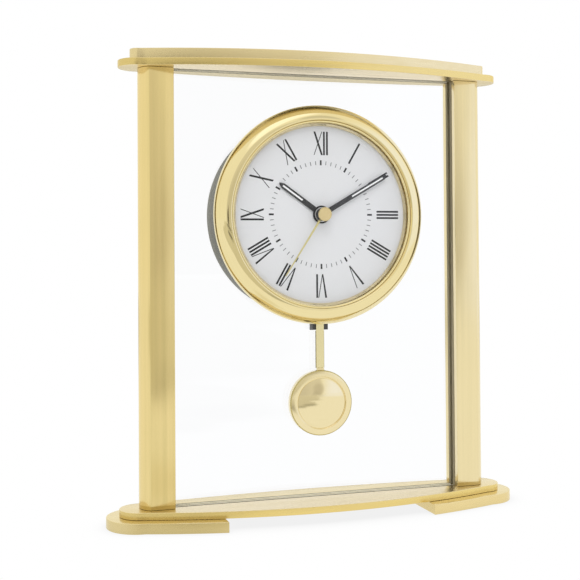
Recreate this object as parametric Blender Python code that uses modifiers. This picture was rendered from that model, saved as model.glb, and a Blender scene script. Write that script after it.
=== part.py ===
"""Pendulum mantel clock: a brass-finished frame with one pane of glass, a round
clock head set through the pane and a pendulum that swings in front of it.

Metres, +Z up. The clock faces -Y. Inside the frame all places are given from the
middle plane of the glass, and "forward" is the distance from it towards the
viewer. An empty moves the whole clock so that the origin is under the middle of
its outer box.
"""
import math

import bmesh
import bpy

# Joints between pieces
SEAT_GAP = 0.0001
FIT_GAP = 0.0003
PIVOT_GAP = 0.0002
OVERRUN = 0.002
WELD_DISTANCE = 0.000001
SMOOTH_ANGLE = math.radians(32)
EDGE_ANGLE = math.radians(50)

# Plates: one bowed outline, drawn larger for the feet and smaller for the crown
END_REACH = 0.0048
END_RADIUS = 0.0094
FRONT_BULGE = 0.0139
BACK_BULGE = 0.0053
FOOT_MARGIN = 0.0058
CROWN_MARGIN = -0.0054
FOOT_REACH_IN = 0.0204
FOOT_THICKNESS = 0.0047
BASE_THICKNESS = 0.0033
TOP_THICKNESS = 0.0034
CROWN_THICKNESS = 0.0053
PLATE_BEVEL = 0.0003
BOW_POINTS = 16
END_POINTS = 8

# Posts
POST_HEIGHT = 0.1983
POST_INNER_X = 0.0696
POST_FLAT_WIDTH = 0.0100
POST_INNER_HALF_DEPTH = 0.0072
POST_END_RADIUS = 0.0053

# Glass pane and its grooves
GLASS_THICKNESS = 0.0040
GROOVE_WIDTH = 0.0050
POST_GROOVE_DEPTH = 0.0040
PLATE_GROOVE_DEPTH = 0.0012

# Tie bolts and foot screws
BOLT_INSET = 0.0017
BOLT_RADIUS = 0.0025
BOLT_HEAD_RADIUS = 0.0042
BOLT_HEAD_HEIGHT = 0.0028
BOLT_HEAD_RECESS = 0.0003
BOLT_SOCKET_RADIUS = 0.0018
BOLT_SOCKET_DEPTH = 0.0016
BOLT_CROWN_DEPTH = 0.0034
FOOT_SCREW_INSET = 0.0088
FOOT_SCREW_RADIUS = 0.0014
FOOT_SCREW_HEAD_RADIUS = 0.0028
FOOT_SCREW_HEAD_HEIGHT = 0.0016
FOOT_SCREW_HEAD_RECESS = 0.0003
FOOT_SCREW_DEPTH_IN_BASE = 0.0014

# Clock head, across: the movement case sets the housing, and the rest goes round it
HEAD_DROP = 0.0661
HOUSING_ROOM = 0.0006
HOUSING_WALL = 0.0013
BORE_STEP = 0.0008
BEZEL_WIDTH = 0.0075
BEZEL_CREST_INSET = 0.0042
BEZEL_GROOVE_INSET = 0.0066
BEZEL_LIP_WIDTH = 0.0011
FLANGE_INSET = 0.0011
CAN_INSET = 0.0025
CAN_WALL = 0.0015
CAN_BACK_RADIUS = 0.0020
COVER_INSET = 0.0110
COVER_LEDGE = 0.0015
CRYSTAL_CLEARANCE = 0.0004
CRYSTAL_DOME_INSET = 0.0006
REFLECTOR_FRONT_INSET = 0.0004
REFLECTOR_BACK_INSET = 0.0014
LIP_WIDTH = 0.0012

# Clock head: places and thicknesses along its axis
HANGER_CLEARANCE = 0.0005
HANGER_THICKNESS = 0.0012
ROD_THICKNESS = 0.0008
ROD_CLEARANCE = 0.0004
HOUSING_LENGTH = 0.0150
LIP_HEIGHT = 0.0011
DIAL_THICKNESS = 0.0006
REFLECTOR_HEIGHT = 0.0015
CRYSTAL_EDGE = 0.0014
CRYSTAL_RISE = 0.0053
CRYSTAL_THICKNESS = 0.0015
BEZEL_SIDE_HEIGHT = 0.0016
BEZEL_CREST_RISE = 0.0069
BEZEL_GROOVE_DROP = 0.0012
BEZEL_INNER_RING_DROP = 0.0004
BEZEL_LIP_THICKNESS = 0.0008
BEZEL_WALL = 0.0009
GASKET_THICKNESS = 0.0010
GASKET_WIDTH = 0.0020
CAN_DEPTH = 0.0229
CAN_COLLAR_DEPTH = 0.0044
CAN_BACK_WALL = 0.0017
COVER_THICKNESS = 0.0009
COVER_LIP_DEPTH = 0.0040
COVER_LIP_WALL = 0.0015
COVER_GRIP_RADIUS = 0.0100
COVER_GRIP_WIDTH = 0.0040
COVER_GRIP_HEIGHT = 0.0011
SLOT_CLEARANCE = 0.0006

# Movement case
CONTACT_ROOM = 0.00155
CASE_BOTTOM = 0.0170
CASE_WALL = 0.0012
BAY_TOP_WALL = 0.0010
BAY_FLOOR_WALL = 0.0013
TRAIN_ROOM = 0.0014
CASE_FORWARD = 0.0008
CASE_DEPTH = 0.0148
CASE_LID_THICKNESS = 0.0012
TRAIN_BOTTOM = 0.0158
COIL_BOX_HALF_WIDTH = 0.0075
COIL_BOX_MARGIN = 0.0018
PILLAR_RADIUS = 0.0022
PILLAR_INSET = 0.0050
PILLAR_LOW = 0.0120
PILLAR_HIGH = 0.0260
LUG_LENGTH = 0.0095
LUG_HALF_HEIGHT = 0.0030
LUG_THICKNESS = 0.0016
LUG_FORWARD = -0.0093
BOSS_LENGTH = 0.0070
BOSS_GAP = 0.0025
LUG_SCREW_REACH = 0.0060
LUG_SCREW_RADIUS = 0.0011
LUG_SCREW_HEAD_RADIUS = 0.0024
LUG_SCREW_HEAD_HEIGHT = 0.0014
LUG_SCREW_LENGTH = 0.0070
BUSH_RADIUS = 0.0032
BUSH_BORE = 0.0025
DIAL_HOLE_RADIUS = 0.0036

# Battery, a standard AA cell, and its contacts
BATTERY_RADIUS = 0.00725
BATTERY_LENGTH = 0.0505
BATTERY_NUB_RADIUS = 0.00275
BATTERY_NUB_LENGTH = 0.0010
BATTERY_ROOM = 0.00035
CONTACT_THICKNESS = 0.0004
CONTACT_HALF_WIDTH = 0.0035
CONTACT_DEPTH = 0.0100

# Electronics
BOARD_WIDTH = 0.0090
BOARD_LOW = 0.0140
BOARD_TOP_ROOM = 0.0019
BOARD_THICKNESS = 0.0010
BOARD_FORWARD = -0.0030
CRYSTAL_CAN_RADIUS = 0.0010
CRYSTAL_CAN_LENGTH = 0.0060
STATOR_THICKNESS = 0.0008
STATOR_RING_RADIUS = 0.0042
STATOR_BORE_RADIUS = 0.0027
STATOR_ARM_INSET = 0.0045
STATOR_ARM_WIDTH = 0.0030
STATOR_ARM_TOP = 0.0120
STATOR_ARM_BOTTOM = 0.0155
STATOR_BRIDGE_HEIGHT = 0.0040
MOTOR_COIL_RADIUS = 0.0030
MOTOR_COIL_LOW = 0.0080
MOTOR_COIL_HIGH = 0.0100
MOTOR_COIL_CHEEK_RADIUS = 0.0034
MOTOR_COIL_CHEEK = 0.0008
SWING_COIL_RADIUS = 0.0052
SWING_COIL_BORE = 0.0015
SWING_COIL_LENGTH = 0.0060
SWING_COIL_DROP = 0.0260

# Gear train: layers are places forward of the glass plane, all behind it
THIRD_DISTANCE = 0.0085
THIRD_ANGLE = math.radians(135)
WORK_DISTANCE = 0.0090
WORK_ANGLE = 0.0
INTERMEDIATE_DISTANCE = 0.0072
INTERMEDIATE_ANGLE = math.radians(250)
ROTOR_DISTANCE = 0.0070
ROTOR_ANGLE = math.radians(202)
PINION_LEAVES = 6
THIRD_TEETH = 45
CENTRE_TEETH = 48
WORK_TEETH = 18
HOUR_TEETH = 24
SECONDS_TEETH = 30
INTERMEDIATE_TEETH = 36
TOOTH_ROOT_SHARE = 1.15
TOOTH_TIP_SHARE = 0.85
TOOTH_ROOT_WIDTH_SHARE = 0.23
TOOTH_TIP_WIDTH_SHARE = 0.09
ARBOR_RADIUS = 0.00045
WORK_ARBOR_RADIUS = 0.0007
WHEEL_THICKNESS = 0.0007
PINION_LENGTH = 0.0009
HOUR_LAYER = -0.0011
WORK_LAYER = -0.0024
CENTRE_LAYER = -0.0038
THIRD_LAYER = -0.0055
TRAIN_PLATE_LAYER = -0.0067
TRAIN_PLATE_THICKNESS = 0.0008
TRAIN_PLATE_LEFT = 0.0178
TRAIN_PLATE_RIGHT = 0.0165
SECONDS_LAYER = -0.0078
INTERMEDIATE_LAYER = -0.0088
ROTOR_LAYER = -0.0103
ROTOR_RADIUS = 0.0021
ROTOR_LENGTH = 0.0016
KNOB_RADIUS = 0.0050
KNOB_LENGTH = 0.0045
KNOB_STEM_RADIUS = 0.0020
KNOB_STEM_LENGTH = 0.0010
KNOB_RIBS = 16
KNOB_RIB_DEPTH = 0.0004
KNOB_RIB_SHARE = 0.6

# Pipes that carry the hands
MINUTE_PIPE_BORE = 0.00075
MINUTE_PIPE_RADIUS = 0.0013
HOUR_PIPE_BORE = 0.0016
HOUR_PIPE_RADIUS = 0.0022

# Hands
HAND_THICKNESS = 0.0004
HAND_SPACING = 0.0011
FIRST_HAND_FORWARD = 0.0077
HOUR_LENGTH = 0.0249
HOUR_WIDTH = 0.0026
HOUR_HUB_RADIUS = 0.0042
HOUR_DEGREES = 305.3
MINUTE_LENGTH = 0.0373
MINUTE_WIDTH = 0.0024
MINUTE_HUB_RADIUS = 0.0036
MINUTE_DEGREES = 60.0
HAND_SLOT_START_SHARE = 0.46
HAND_SLOT_END_SHARE = 0.965
HAND_TIP_SHARE = 0.80
HAND_RIM = 0.0006
SECONDS_LENGTH = 0.0340
SECONDS_WIDTH = 0.0006
SECONDS_TIP_WIDTH = 0.0003
SECONDS_DEGREES = 213.0
SECONDS_CAP_RADIUS = 0.0033
SECONDS_CAP_HEIGHT = 0.0029
COLLAR_RADIUS = 0.0030

# Pendulum
PIVOT_DROP = 0.0145
PIVOT_PIN_RADIUS = 0.0010
PIVOT_HEAD_RADIUS = 0.0020
PIVOT_HEAD_HEIGHT = 0.0006
PIVOT_PIN_DEPTH = 0.0010
SWING_DEGREES = 6.0
HANGER_WIDTH = 0.0093
HANGER_SHOWING = 0.0028
HANGER_PEG_RADIUS = 0.0009
HANGER_PEG_INSET = 0.0077
HANGER_PEG_LENGTH = 0.0010
MAGNET_RADIUS = 0.0030
MAGNET_THICKNESS = 0.0010
ROD_WIDTH = 0.0038
ROD_TOP_ABOVE_PEG = 0.0025
ROD_IN_BOB = 0.0080
BOB_HEIGHT_SHARE = 0.543
BOB_RADIUS = 0.01524
BOB_RIM_THICKNESS = 0.0036
BOB_RIM_WIDTH = 0.0031
BOB_STEP_WIDTH = 0.0008
BOB_STEP_DEPTH = 0.0005
BOB_DOME_RISE = 0.0011
BOB_EDGE_BEVEL = 0.0004

# Facets
RING_STEPS = 40
SMALL_STEPS = 12
DOME_RINGS = 4

FINISHES = {
    "satin_brass": ((0.66, 0.50, 0.22), 0.36, 1.0),
    "polished_brass": ((0.78, 0.62, 0.28), 0.12, 1.0),
    "pale_brass": ((0.76, 0.66, 0.36), 0.30, 1.0),
    "clear_glass": ((0.92, 0.97, 0.95), 0.03, 0.0),
    "grey_plastic": ((0.18, 0.19, 0.21), 0.45, 0.0),
    "black_plastic": ((0.03, 0.03, 0.035), 0.50, 0.0),
    "white_plastic": ((0.78, 0.78, 0.76), 0.45, 0.0),
    "dial_white": ((0.76, 0.76, 0.78), 0.55, 0.0),
    "hand_charcoal": ((0.045, 0.045, 0.05), 0.40, 0.0),
    "black_rubber": ((0.03, 0.03, 0.03), 0.80, 0.0),
    "steel": ((0.62, 0.62, 0.63), 0.30, 1.0),
    "copper": ((0.70, 0.30, 0.16), 0.35, 1.0),
    "board_green": ((0.04, 0.20, 0.09), 0.50, 0.0),
    "cell_jacket": ((0.10, 0.12, 0.16), 0.35, 0.4),
}

# Plan places that follow from the posts
POST_END_CENTRE_X = POST_INNER_X + POST_FLAT_WIDTH
END_CENTRE_X = POST_END_CENTRE_X + END_REACH
BOLT_X = POST_END_CENTRE_X - BOLT_INSET
FOOT_INNER_X = POST_INNER_X - FOOT_REACH_IN
FOOT_SCREW_X = FOOT_INNER_X + FOOT_SCREW_INSET

# Movement and head sizes that follow from the battery
BATTERY_BAY_HALF_HEIGHT = BATTERY_RADIUS + BATTERY_ROOM
CASE_HALF_WIDTH = BATTERY_LENGTH / 2 + CONTACT_ROOM + CASE_WALL
THIRD_TOP = THIRD_DISTANCE * (math.sin(THIRD_ANGLE) + THIRD_TEETH / (THIRD_TEETH + PINION_LEAVES))
TRAIN_TOP = THIRD_TOP + TRAIN_ROOM
BATTERY_CENTRE_HEIGHT = TRAIN_TOP + BAY_FLOOR_WALL + BATTERY_BAY_HALF_HEIGHT
CASE_TOP = BATTERY_CENTRE_HEIGHT + BATTERY_BAY_HALF_HEIGHT + BAY_TOP_WALL
COIL_BOX_BOTTOM = SWING_COIL_DROP + SWING_COIL_RADIUS + COIL_BOX_MARGIN
BOARD_X = CASE_HALF_WIDTH - CASE_WALL - FIT_GAP - BOARD_WIDTH
BOARD_HIGH = TRAIN_TOP - BOARD_TOP_ROOM
STATOR_ARM_X = CASE_HALF_WIDTH - STATOR_ARM_INSET
PILLAR_X = CASE_HALF_WIDTH - PILLAR_INSET
LUG_REACH = CASE_HALF_WIDTH + LUG_LENGTH
LUG_SCREW_X = CASE_HALF_WIDTH + LUG_SCREW_REACH
BOSS_INNER_X = CASE_HALF_WIDTH + BOSS_GAP
HOUSING_RADIUS = math.hypot(CASE_HALF_WIDTH, CASE_TOP) + HOUSING_ROOM + HOUSING_WALL
BEZEL_BORE_RADIUS = HOUSING_RADIUS - BORE_STEP
BEZEL_RADIUS = BEZEL_BORE_RADIUS + BEZEL_WIDTH
BEZEL_CREST_RADIUS = BEZEL_RADIUS - BEZEL_CREST_INSET
BEZEL_GROOVE_RADIUS = BEZEL_RADIUS - BEZEL_GROOVE_INSET
BEZEL_OPENING_RADIUS = BEZEL_BORE_RADIUS - BEZEL_LIP_WIDTH
FLANGE_RADIUS = BEZEL_RADIUS - FLANGE_INSET
CAN_RADIUS = FLANGE_RADIUS - CAN_INSET
COVER_RADIUS = CAN_RADIUS - COVER_INSET
CRYSTAL_RADIUS = BEZEL_BORE_RADIUS - CRYSTAL_CLEARANCE
CRYSTAL_DOME_RADIUS = BEZEL_OPENING_RADIUS - CRYSTAL_DOME_INSET
DIAL_RADIUS = CRYSTAL_RADIUS
REFLECTOR_FRONT_RADIUS = BEZEL_OPENING_RADIUS - REFLECTOR_FRONT_INSET
REFLECTOR_BACK_RADIUS = BEZEL_OPENING_RADIUS - REFLECTOR_BACK_INSET

# Levels and layers that follow from the sizes above
FOOT_TOP = FOOT_THICKNESS
BASE_TOP = FOOT_TOP + BASE_THICKNESS
POST_TOP = BASE_TOP + POST_HEIGHT
TOP_PLATE_TOP = POST_TOP + TOP_THICKNESS
CROWN_TOP = TOP_PLATE_TOP + CROWN_THICKNESS
HEAD_HEIGHT = POST_TOP - HEAD_DROP
BEZEL_BOTTOM = HEAD_HEIGHT - BEZEL_RADIUS
BOB_HEIGHT = BASE_TOP + (BEZEL_BOTTOM - BASE_TOP) * BOB_HEIGHT_SHARE
HANGER_BOTTOM_DROP = BEZEL_RADIUS + HANGER_SHOWING
HANGER_PEG_DROP = HANGER_BOTTOM_DROP - HANGER_PEG_INSET
ROD_TOP_DROP = HANGER_PEG_DROP - ROD_TOP_ABOVE_PEG
GLASS_FRONT = GLASS_THICKNESS / 2
HANGER_BACK = GLASS_FRONT + HANGER_CLEARANCE
HANGER_FRONT = HANGER_BACK + HANGER_THICKNESS
ROD_BACK = HANGER_FRONT + FIT_GAP
ROD_FRONT = ROD_BACK + ROD_THICKNESS
HOUSING_FRONT = ROD_FRONT + ROD_CLEARANCE
BEZEL_REAR = HOUSING_FRONT + FIT_GAP
LIP_FRONT = HOUSING_FRONT + LIP_HEIGHT
DIAL_BACK = LIP_FRONT + FIT_GAP
DIAL_FRONT = DIAL_BACK + DIAL_THICKNESS
REFLECTOR_BACK = DIAL_FRONT + FIT_GAP
REFLECTOR_FRONT = REFLECTOR_BACK + REFLECTOR_HEIGHT
CRYSTAL_BACK = REFLECTOR_FRONT + FIT_GAP
CRYSTAL_FRONT = CRYSTAL_BACK + CRYSTAL_EDGE
BEZEL_LIP_BACK = CRYSTAL_FRONT + FIT_GAP
BEZEL_CREST = BEZEL_REAR + BEZEL_CREST_RISE
GASKET_FRONT = -GLASS_FRONT - FIT_GAP
CAN_FRONT = GASKET_FRONT - GASKET_THICKNESS - FIT_GAP
CAN_BACK = CAN_FRONT - CAN_DEPTH
CASE_BACK = CASE_FORWARD - CASE_DEPTH
LID_FRONT = CASE_BACK - FIT_GAP
LID_BACK = LID_FRONT - CASE_LID_THICKNESS
PIVOT_HEIGHT = HEAD_HEIGHT - PIVOT_DROP
FACING = (math.pi / 2, 0, 0)


def start_clean():
    """Remove whatever the scene holds and make the clock's two collections."""
    for obj in list(bpy.data.objects):
        bpy.data.objects.remove(obj, do_unlink=True)
    made = []
    for name in ("mantel_clock_parts", "mantel_clock_cutters"):
        collection = bpy.data.collections.new(name)
        bpy.context.scene.collection.children.link(collection)
        made.append(collection)
    return made


PARTS, CUTTERS = start_clean()


def finish(name):
    """Return the Principled material of one finish, made on first use."""
    material = bpy.data.materials.get(name)
    if material is None:
        colour, roughness, metallic = FINISHES[name]
        material = bpy.data.materials.new(name)
        material.use_nodes = True
        shader = material.node_tree.nodes["Principled BSDF"]
        shader.inputs["Base Color"].default_value = (*colour, 1)
        shader.inputs["Roughness"].default_value = roughness
        shader.inputs["Metallic"].default_value = metallic
        if name == "clear_glass":
            shader.inputs["Transmission Weight"].default_value = 1
    return material


def bow_y(margin, x, front):
    """Y of the front or back bow of the plate outline at x."""
    radius = END_RADIUS + margin
    bulge = FRONT_BULGE if front else BACK_BULGE
    bow = (END_CENTRE_X ** 2 + bulge ** 2) / (2 * bulge)
    depth = radius + bulge - bow + math.sqrt(bow ** 2 - x ** 2)
    return -depth if front else depth


def arc(centre_x, centre_y, radius, start, end, count):
    """Points on an arc, both ends included."""
    points = []
    for i in range(count + 1):
        angle = start + (end - start) * i / count
        points.append((centre_x + radius * math.cos(angle), centre_y + radius * math.sin(angle)))
    return points


def bow(margin, x_from, x_to, front, count):
    """Points along one bow, both ends included."""
    xs = [x_from + (x_to - x_from) * i / count for i in range(count + 1)]
    return [(x, bow_y(margin, x, front)) for x in xs]


def plate_outline(margin):
    """Outline of a whole plate, anticlockwise from its front left corner."""
    radius = END_RADIUS + margin
    points = bow(margin, -END_CENTRE_X, END_CENTRE_X, True, BOW_POINTS)
    points += arc(END_CENTRE_X, 0, radius, -math.pi / 2, math.pi / 2, END_POINTS)[1:-1]
    points += bow(margin, END_CENTRE_X, -END_CENTRE_X, False, BOW_POINTS)
    points += arc(-END_CENTRE_X, 0, radius, math.pi / 2, 3 * math.pi / 2, END_POINTS)[1:-1]
    return points


def foot_outline(side):
    """Outline of the right foot, or of the left one with side -1."""
    half = BOW_POINTS // 4
    radius = END_RADIUS + FOOT_MARGIN
    points = bow(FOOT_MARGIN, FOOT_INNER_X, END_CENTRE_X, True, half)
    points += arc(END_CENTRE_X, 0, radius, -math.pi / 2, math.pi / 2, END_POINTS)[1:-1]
    points += bow(FOOT_MARGIN, END_CENTRE_X, FOOT_INNER_X, False, half)
    return [(side * x, y) for x, y in points]


def post_outline(side):
    """Outline of the right post, or of the left one with side -1."""
    points = [(POST_INNER_X, -POST_INNER_HALF_DEPTH)]
    points += arc(POST_END_CENTRE_X, 0, POST_END_RADIUS, -math.pi / 2, math.pi / 2, END_POINTS)
    points += [(POST_INNER_X, POST_INNER_HALF_DEPTH)]
    return [(side * x, y) for x, y in points]


def place(obj, material, collection=None):
    """Put an object in its collection, dress it and hang it on the clock's empty."""
    (collection or PARTS).objects.link(obj)
    if material:
        obj.data.materials.clear()
        obj.data.materials.append(finish(material))
    obj.parent = CLOCK
    return obj


def flat(name, outline, low, high, material, upright=False, centre=(0, 0), collection=None):
    """A flat piece of the given outline between two levels.

    It lies flat, from z low to z high, or stands upright facing the viewer, from
    low to high forward, with its outline's centre at (x, z).
    """
    curve = bpy.data.curves.new(name, "CURVE")
    curve.dimensions = "2D"
    curve.fill_mode = "BOTH"
    curve.extrude = (high - low) / 2
    spline = curve.splines.new("POLY")
    spline.points.add(len(outline) - 1)
    for point, (x, y) in zip(spline.points, outline):
        point.co = (x, y, 0, 1)
    spline.use_cyclic_u = True
    sketch = bpy.data.objects.new(name + "_sketch", curve)
    CUTTERS.objects.link(sketch)
    obj = bpy.data.objects.new(name, solid_mesh(sketch))
    middle = (low + high) / 2
    if upright:
        obj.rotation_euler = FACING
        obj.location = (centre[0], -middle, centre[1])
    else:
        obj.location = (centre[0], centre[1], middle)
    return place(obj, material, collection)


def solid_mesh(sketch):
    """Turn a sketch object into a welded, smooth-shaded mesh and remove the sketch."""
    bpy.context.view_layer.update()
    mesh = bpy.data.meshes.new_from_object(sketch.evaluated_get(bpy.context.evaluated_depsgraph_get()))
    bpy.data.objects.remove(sketch)
    shape = bmesh.new()
    shape.from_mesh(mesh)
    bmesh.ops.remove_doubles(shape, verts=shape.verts, dist=WELD_DISTANCE)
    bmesh.ops.recalc_face_normals(shape, faces=shape.faces)
    shape.to_mesh(mesh)
    shape.free()
    mesh.shade_smooth()
    mesh.set_sharp_from_angle(angle=SMOOTH_ANGLE)
    return mesh


def turned(name, profile, material, centre=(0, HEAD_HEIGHT), upright=True, steps=RING_STEPS,
           closed=False, collection=None):
    """A turned piece from a profile of (radius, height) points.

    The profile runs down its outer side. A closed one makes a ring. Upright pieces
    face the viewer and their heights are forward of the glass plane; the others
    stand on z and their centre is (x, y).
    """
    mesh = bpy.data.meshes.new(name)
    count = len(profile)
    edges = [(i, i + 1) for i in range(count - 1)]
    if closed:
        edges.append((count - 1, 0))
    mesh.from_pydata([(radius, 0, height) for radius, height in profile], edges, [])
    sketch = bpy.data.objects.new(name + "_sketch", mesh)
    CUTTERS.objects.link(sketch)
    screw = sketch.modifiers.new("turn", "SCREW")
    screw.steps = steps
    screw.render_steps = steps
    screw.use_merge_vertices = True
    screw.merge_threshold = WELD_DISTANCE
    obj = bpy.data.objects.new(name, solid_mesh(sketch))
    if upright:
        obj.rotation_euler = FACING
        obj.location = (centre[0], 0, centre[1])
    else:
        obj.location = (centre[0], centre[1], 0)
    return place(obj, material, collection)


def rod_profile(radius, low, high):
    """Profile of a plain cylinder."""
    return [(0, high), (radius, high), (radius, low), (0, low)]


def ring_profile(outer, inner, low, high):
    """Profile of a plain tube, for a closed turning."""
    return [(outer, high), (outer, low), (inner, low), (inner, high)]


def block(name, low, high, material, collection=None):
    """A box between two corners."""
    mesh = bpy.data.meshes.new(name)
    shape = bmesh.new()
    bmesh.ops.create_cube(shape, size=1)
    size = [high[i] - low[i] for i in range(3)]
    bmesh.ops.scale(shape, vec=size, verts=shape.verts)
    shape.to_mesh(mesh)
    shape.free()
    obj = bpy.data.objects.new(name, mesh)
    obj.location = [(low[i] + high[i]) / 2 for i in range(3)]
    return place(obj, material, collection)


def head_block(name, x, height, forward, material, collection=None):
    """A box given by its (low, high) pairs across, above the head's centre and forward."""
    low = (x[0], -forward[1], HEAD_HEIGHT + height[0])
    high = (x[1], -forward[0], HEAD_HEIGHT + height[1])
    return block(name, low, high, material, collection)


def shape_with(obj, tools, operation):
    """Cut the tools out of an object, or join them to it."""
    for tool in tools:
        tool.hide_render = True
        tool.display_type = "WIRE"
        change = obj.modifiers.new(tool.name, "BOOLEAN")
        change.operation = operation
        change.solver = "EXACT"
        change.object = tool
        tidy = obj.modifiers.new(f"{tool.name}_weld", "WELD")
        tidy.merge_threshold = WELD_DISTANCE
    return obj


def cut(obj, *tools):
    return shape_with(obj, tools, "DIFFERENCE")


def join(obj, *tools):
    return shape_with(obj, tools, "UNION")


def bore(name, radius, low, high, centre, upright=True):
    """A round cutter."""
    return turned(name, rod_profile(radius, low, high), None, centre, upright, SMALL_STEPS,
                  collection=CUTTERS)


def counterbore(name, radius, head_radius, head_top, high, centre):
    """A cutter for a screw's hole and, below it, the wider hole for its head."""
    profile = [(0, high), (radius, high), (radius, head_top), (head_radius, head_top), (head_radius, -OVERRUN),
               (0, -OVERRUN)]
    return turned(name, profile, None, centre, False, SMALL_STEPS, collection=CUTTERS)


def soften(obj, width):
    """A small chamfer on every sharp edge."""
    bevel = obj.modifiers.new("edge", "BEVEL")
    bevel.width = width
    bevel.segments = 1
    bevel.limit_method = "ANGLE"
    bevel.angle_limit = EDGE_ANGLE
    return obj


def clock_empty():
    """The empty that carries the clock and centres its outer box on the origin."""
    front = max(-bow_y(FOOT_MARGIN, FOOT_INNER_X, True), -bow_y(0, 0, True))
    back = max(-CAN_BACK, bow_y(FOOT_MARGIN, FOOT_INNER_X, False))
    empty = bpy.data.objects.new("mantel_clock", None)
    empty.location = (0, (front - back) / 2, 0)
    PARTS.objects.link(empty)
    return empty


CLOCK = clock_empty()


def bolt_holes(name, low, high):
    """Clearance holes for both tie bolts."""
    return [bore(f"{name}_bolt_hole_{side}", BOLT_RADIUS + FIT_GAP, low, high,
                 (side * BOLT_X, 0), upright=False) for side in (-1, 1)]


def groove(name, low, high):
    """Cutter for the groove that takes the edge of the pane."""
    reach = POST_INNER_X + POST_GROOVE_DEPTH
    half = GROOVE_WIDTH / 2
    return block(name, (-reach, -half, low), (reach, half, high), None, CUTTERS)


def build_feet():
    """Both feet with their bolt and screw holes."""
    for side, name in ((-1, "left"), (1, "right")):
        foot = flat(f"{name}_foot", foot_outline(side), 0, FOOT_TOP, "satin_brass")
        soften(foot, PLATE_BEVEL)
        bolt = (side * BOLT_X, 0)
        screw = (side * FOOT_SCREW_X, 0)
        head_top = BOLT_HEAD_RECESS + BOLT_HEAD_HEIGHT + FIT_GAP
        screw_top = FOOT_SCREW_HEAD_RECESS + FOOT_SCREW_HEAD_HEIGHT + FIT_GAP
        high = FOOT_TOP + OVERRUN
        cut(foot,
            counterbore(f"{name}_foot_bolt", BOLT_RADIUS + FIT_GAP, BOLT_HEAD_RADIUS + FIT_GAP,
                        head_top, high, bolt),
            counterbore(f"{name}_foot_hole", FOOT_SCREW_RADIUS + FIT_GAP, FOOT_SCREW_HEAD_RADIUS + FIT_GAP,
                        screw_top, high, screw))


def build_plates():
    """Base plate, top plate and crown plate."""
    base = flat("base_plate", plate_outline(0), FOOT_TOP + SEAT_GAP, BASE_TOP, "satin_brass")
    soften(base, PLATE_BEVEL)
    cut(base, *bolt_holes("base", -OVERRUN, BASE_TOP + OVERRUN))
    screw_top = FOOT_TOP + FOOT_SCREW_DEPTH_IN_BASE + FIT_GAP
    for side in (-1, 1):
        cut(base, bore(f"base_screw_hole_{side}", FOOT_SCREW_RADIUS + FIT_GAP, -OVERRUN, screw_top,
                       (side * FOOT_SCREW_X, 0), False))
    cut(base, groove("base_groove", BASE_TOP - PLATE_GROOVE_DEPTH, BASE_TOP + OVERRUN))
    top = flat("top_plate", plate_outline(0), POST_TOP + SEAT_GAP, TOP_PLATE_TOP, "satin_brass")
    soften(top, PLATE_BEVEL)
    cut(top, *bolt_holes("top", POST_TOP - OVERRUN, TOP_PLATE_TOP + OVERRUN))
    cut(top, groove("top_groove", POST_TOP - OVERRUN, POST_TOP + PLATE_GROOVE_DEPTH))
    crown = flat("crown_plate", plate_outline(CROWN_MARGIN), TOP_PLATE_TOP + SEAT_GAP, CROWN_TOP,
                 "satin_brass")
    soften(crown, PLATE_BEVEL)
    cut(crown, *bolt_holes("crown", TOP_PLATE_TOP - OVERRUN, TOP_PLATE_TOP + BOLT_CROWN_DEPTH + FIT_GAP))


def build_posts():
    """Both posts, each with the bolt's bore and the pane's groove."""
    for side, name in ((-1, "left"), (1, "right")):
        post = flat(f"{name}_post", post_outline(side), BASE_TOP + SEAT_GAP, POST_TOP, "satin_brass")
        low = BASE_TOP - OVERRUN
        high = POST_TOP + OVERRUN
        cut(post,
            bore(f"{name}_post_bore", BOLT_RADIUS + FIT_GAP, low, high, (side * BOLT_X, 0), False),
            groove(f"{name}_post_groove", low, high))


def build_fasteners():
    """Tie bolts through the whole height and a short screw in each foot."""
    for side, name in ((-1, "left"), (1, "right")):
        head_low = BOLT_HEAD_RECESS
        head_high = head_low + BOLT_HEAD_HEIGHT
        tip = TOP_PLATE_TOP + BOLT_CROWN_DEPTH
        profile = [(0, tip), (BOLT_RADIUS, tip), (BOLT_RADIUS, head_high), (BOLT_HEAD_RADIUS, head_high),
                   (BOLT_HEAD_RADIUS, head_low), (BOLT_SOCKET_RADIUS, head_low),
                   (BOLT_SOCKET_RADIUS, head_low + BOLT_SOCKET_DEPTH), (0, head_low + BOLT_SOCKET_DEPTH)]
        turned(f"{name}_tie_bolt", profile, "steel", (side * BOLT_X, 0), False, SMALL_STEPS)
        low = FOOT_SCREW_HEAD_RECESS
        high = low + FOOT_SCREW_HEAD_HEIGHT
        tip = FOOT_TOP + FOOT_SCREW_DEPTH_IN_BASE
        profile = [(0, tip), (FOOT_SCREW_RADIUS, tip), (FOOT_SCREW_RADIUS, high),
                   (FOOT_SCREW_HEAD_RADIUS, high), (FOOT_SCREW_HEAD_RADIUS, low), (0, low)]
        turned(f"{name}_foot_screw", profile, "steel", (side * FOOT_SCREW_X, 0), False, SMALL_STEPS)


def build_glass():
    """The clear pane with the round hole for the clock head."""
    reach = POST_INNER_X + POST_GROOVE_DEPTH - FIT_GAP
    half = GLASS_THICKNESS / 2
    low = BASE_TOP - PLATE_GROOVE_DEPTH + FIT_GAP
    high = POST_TOP + PLATE_GROOVE_DEPTH - FIT_GAP
    pane = block("glass_panel", (-reach, -half, low), (reach, half, high), "clear_glass")
    hole = turned("glass_hole", rod_profile(HOUSING_RADIUS + FIT_GAP, -half - OVERRUN, half + OVERRUN),
                  None, collection=CUTTERS)
    cut(pane, hole)


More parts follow.
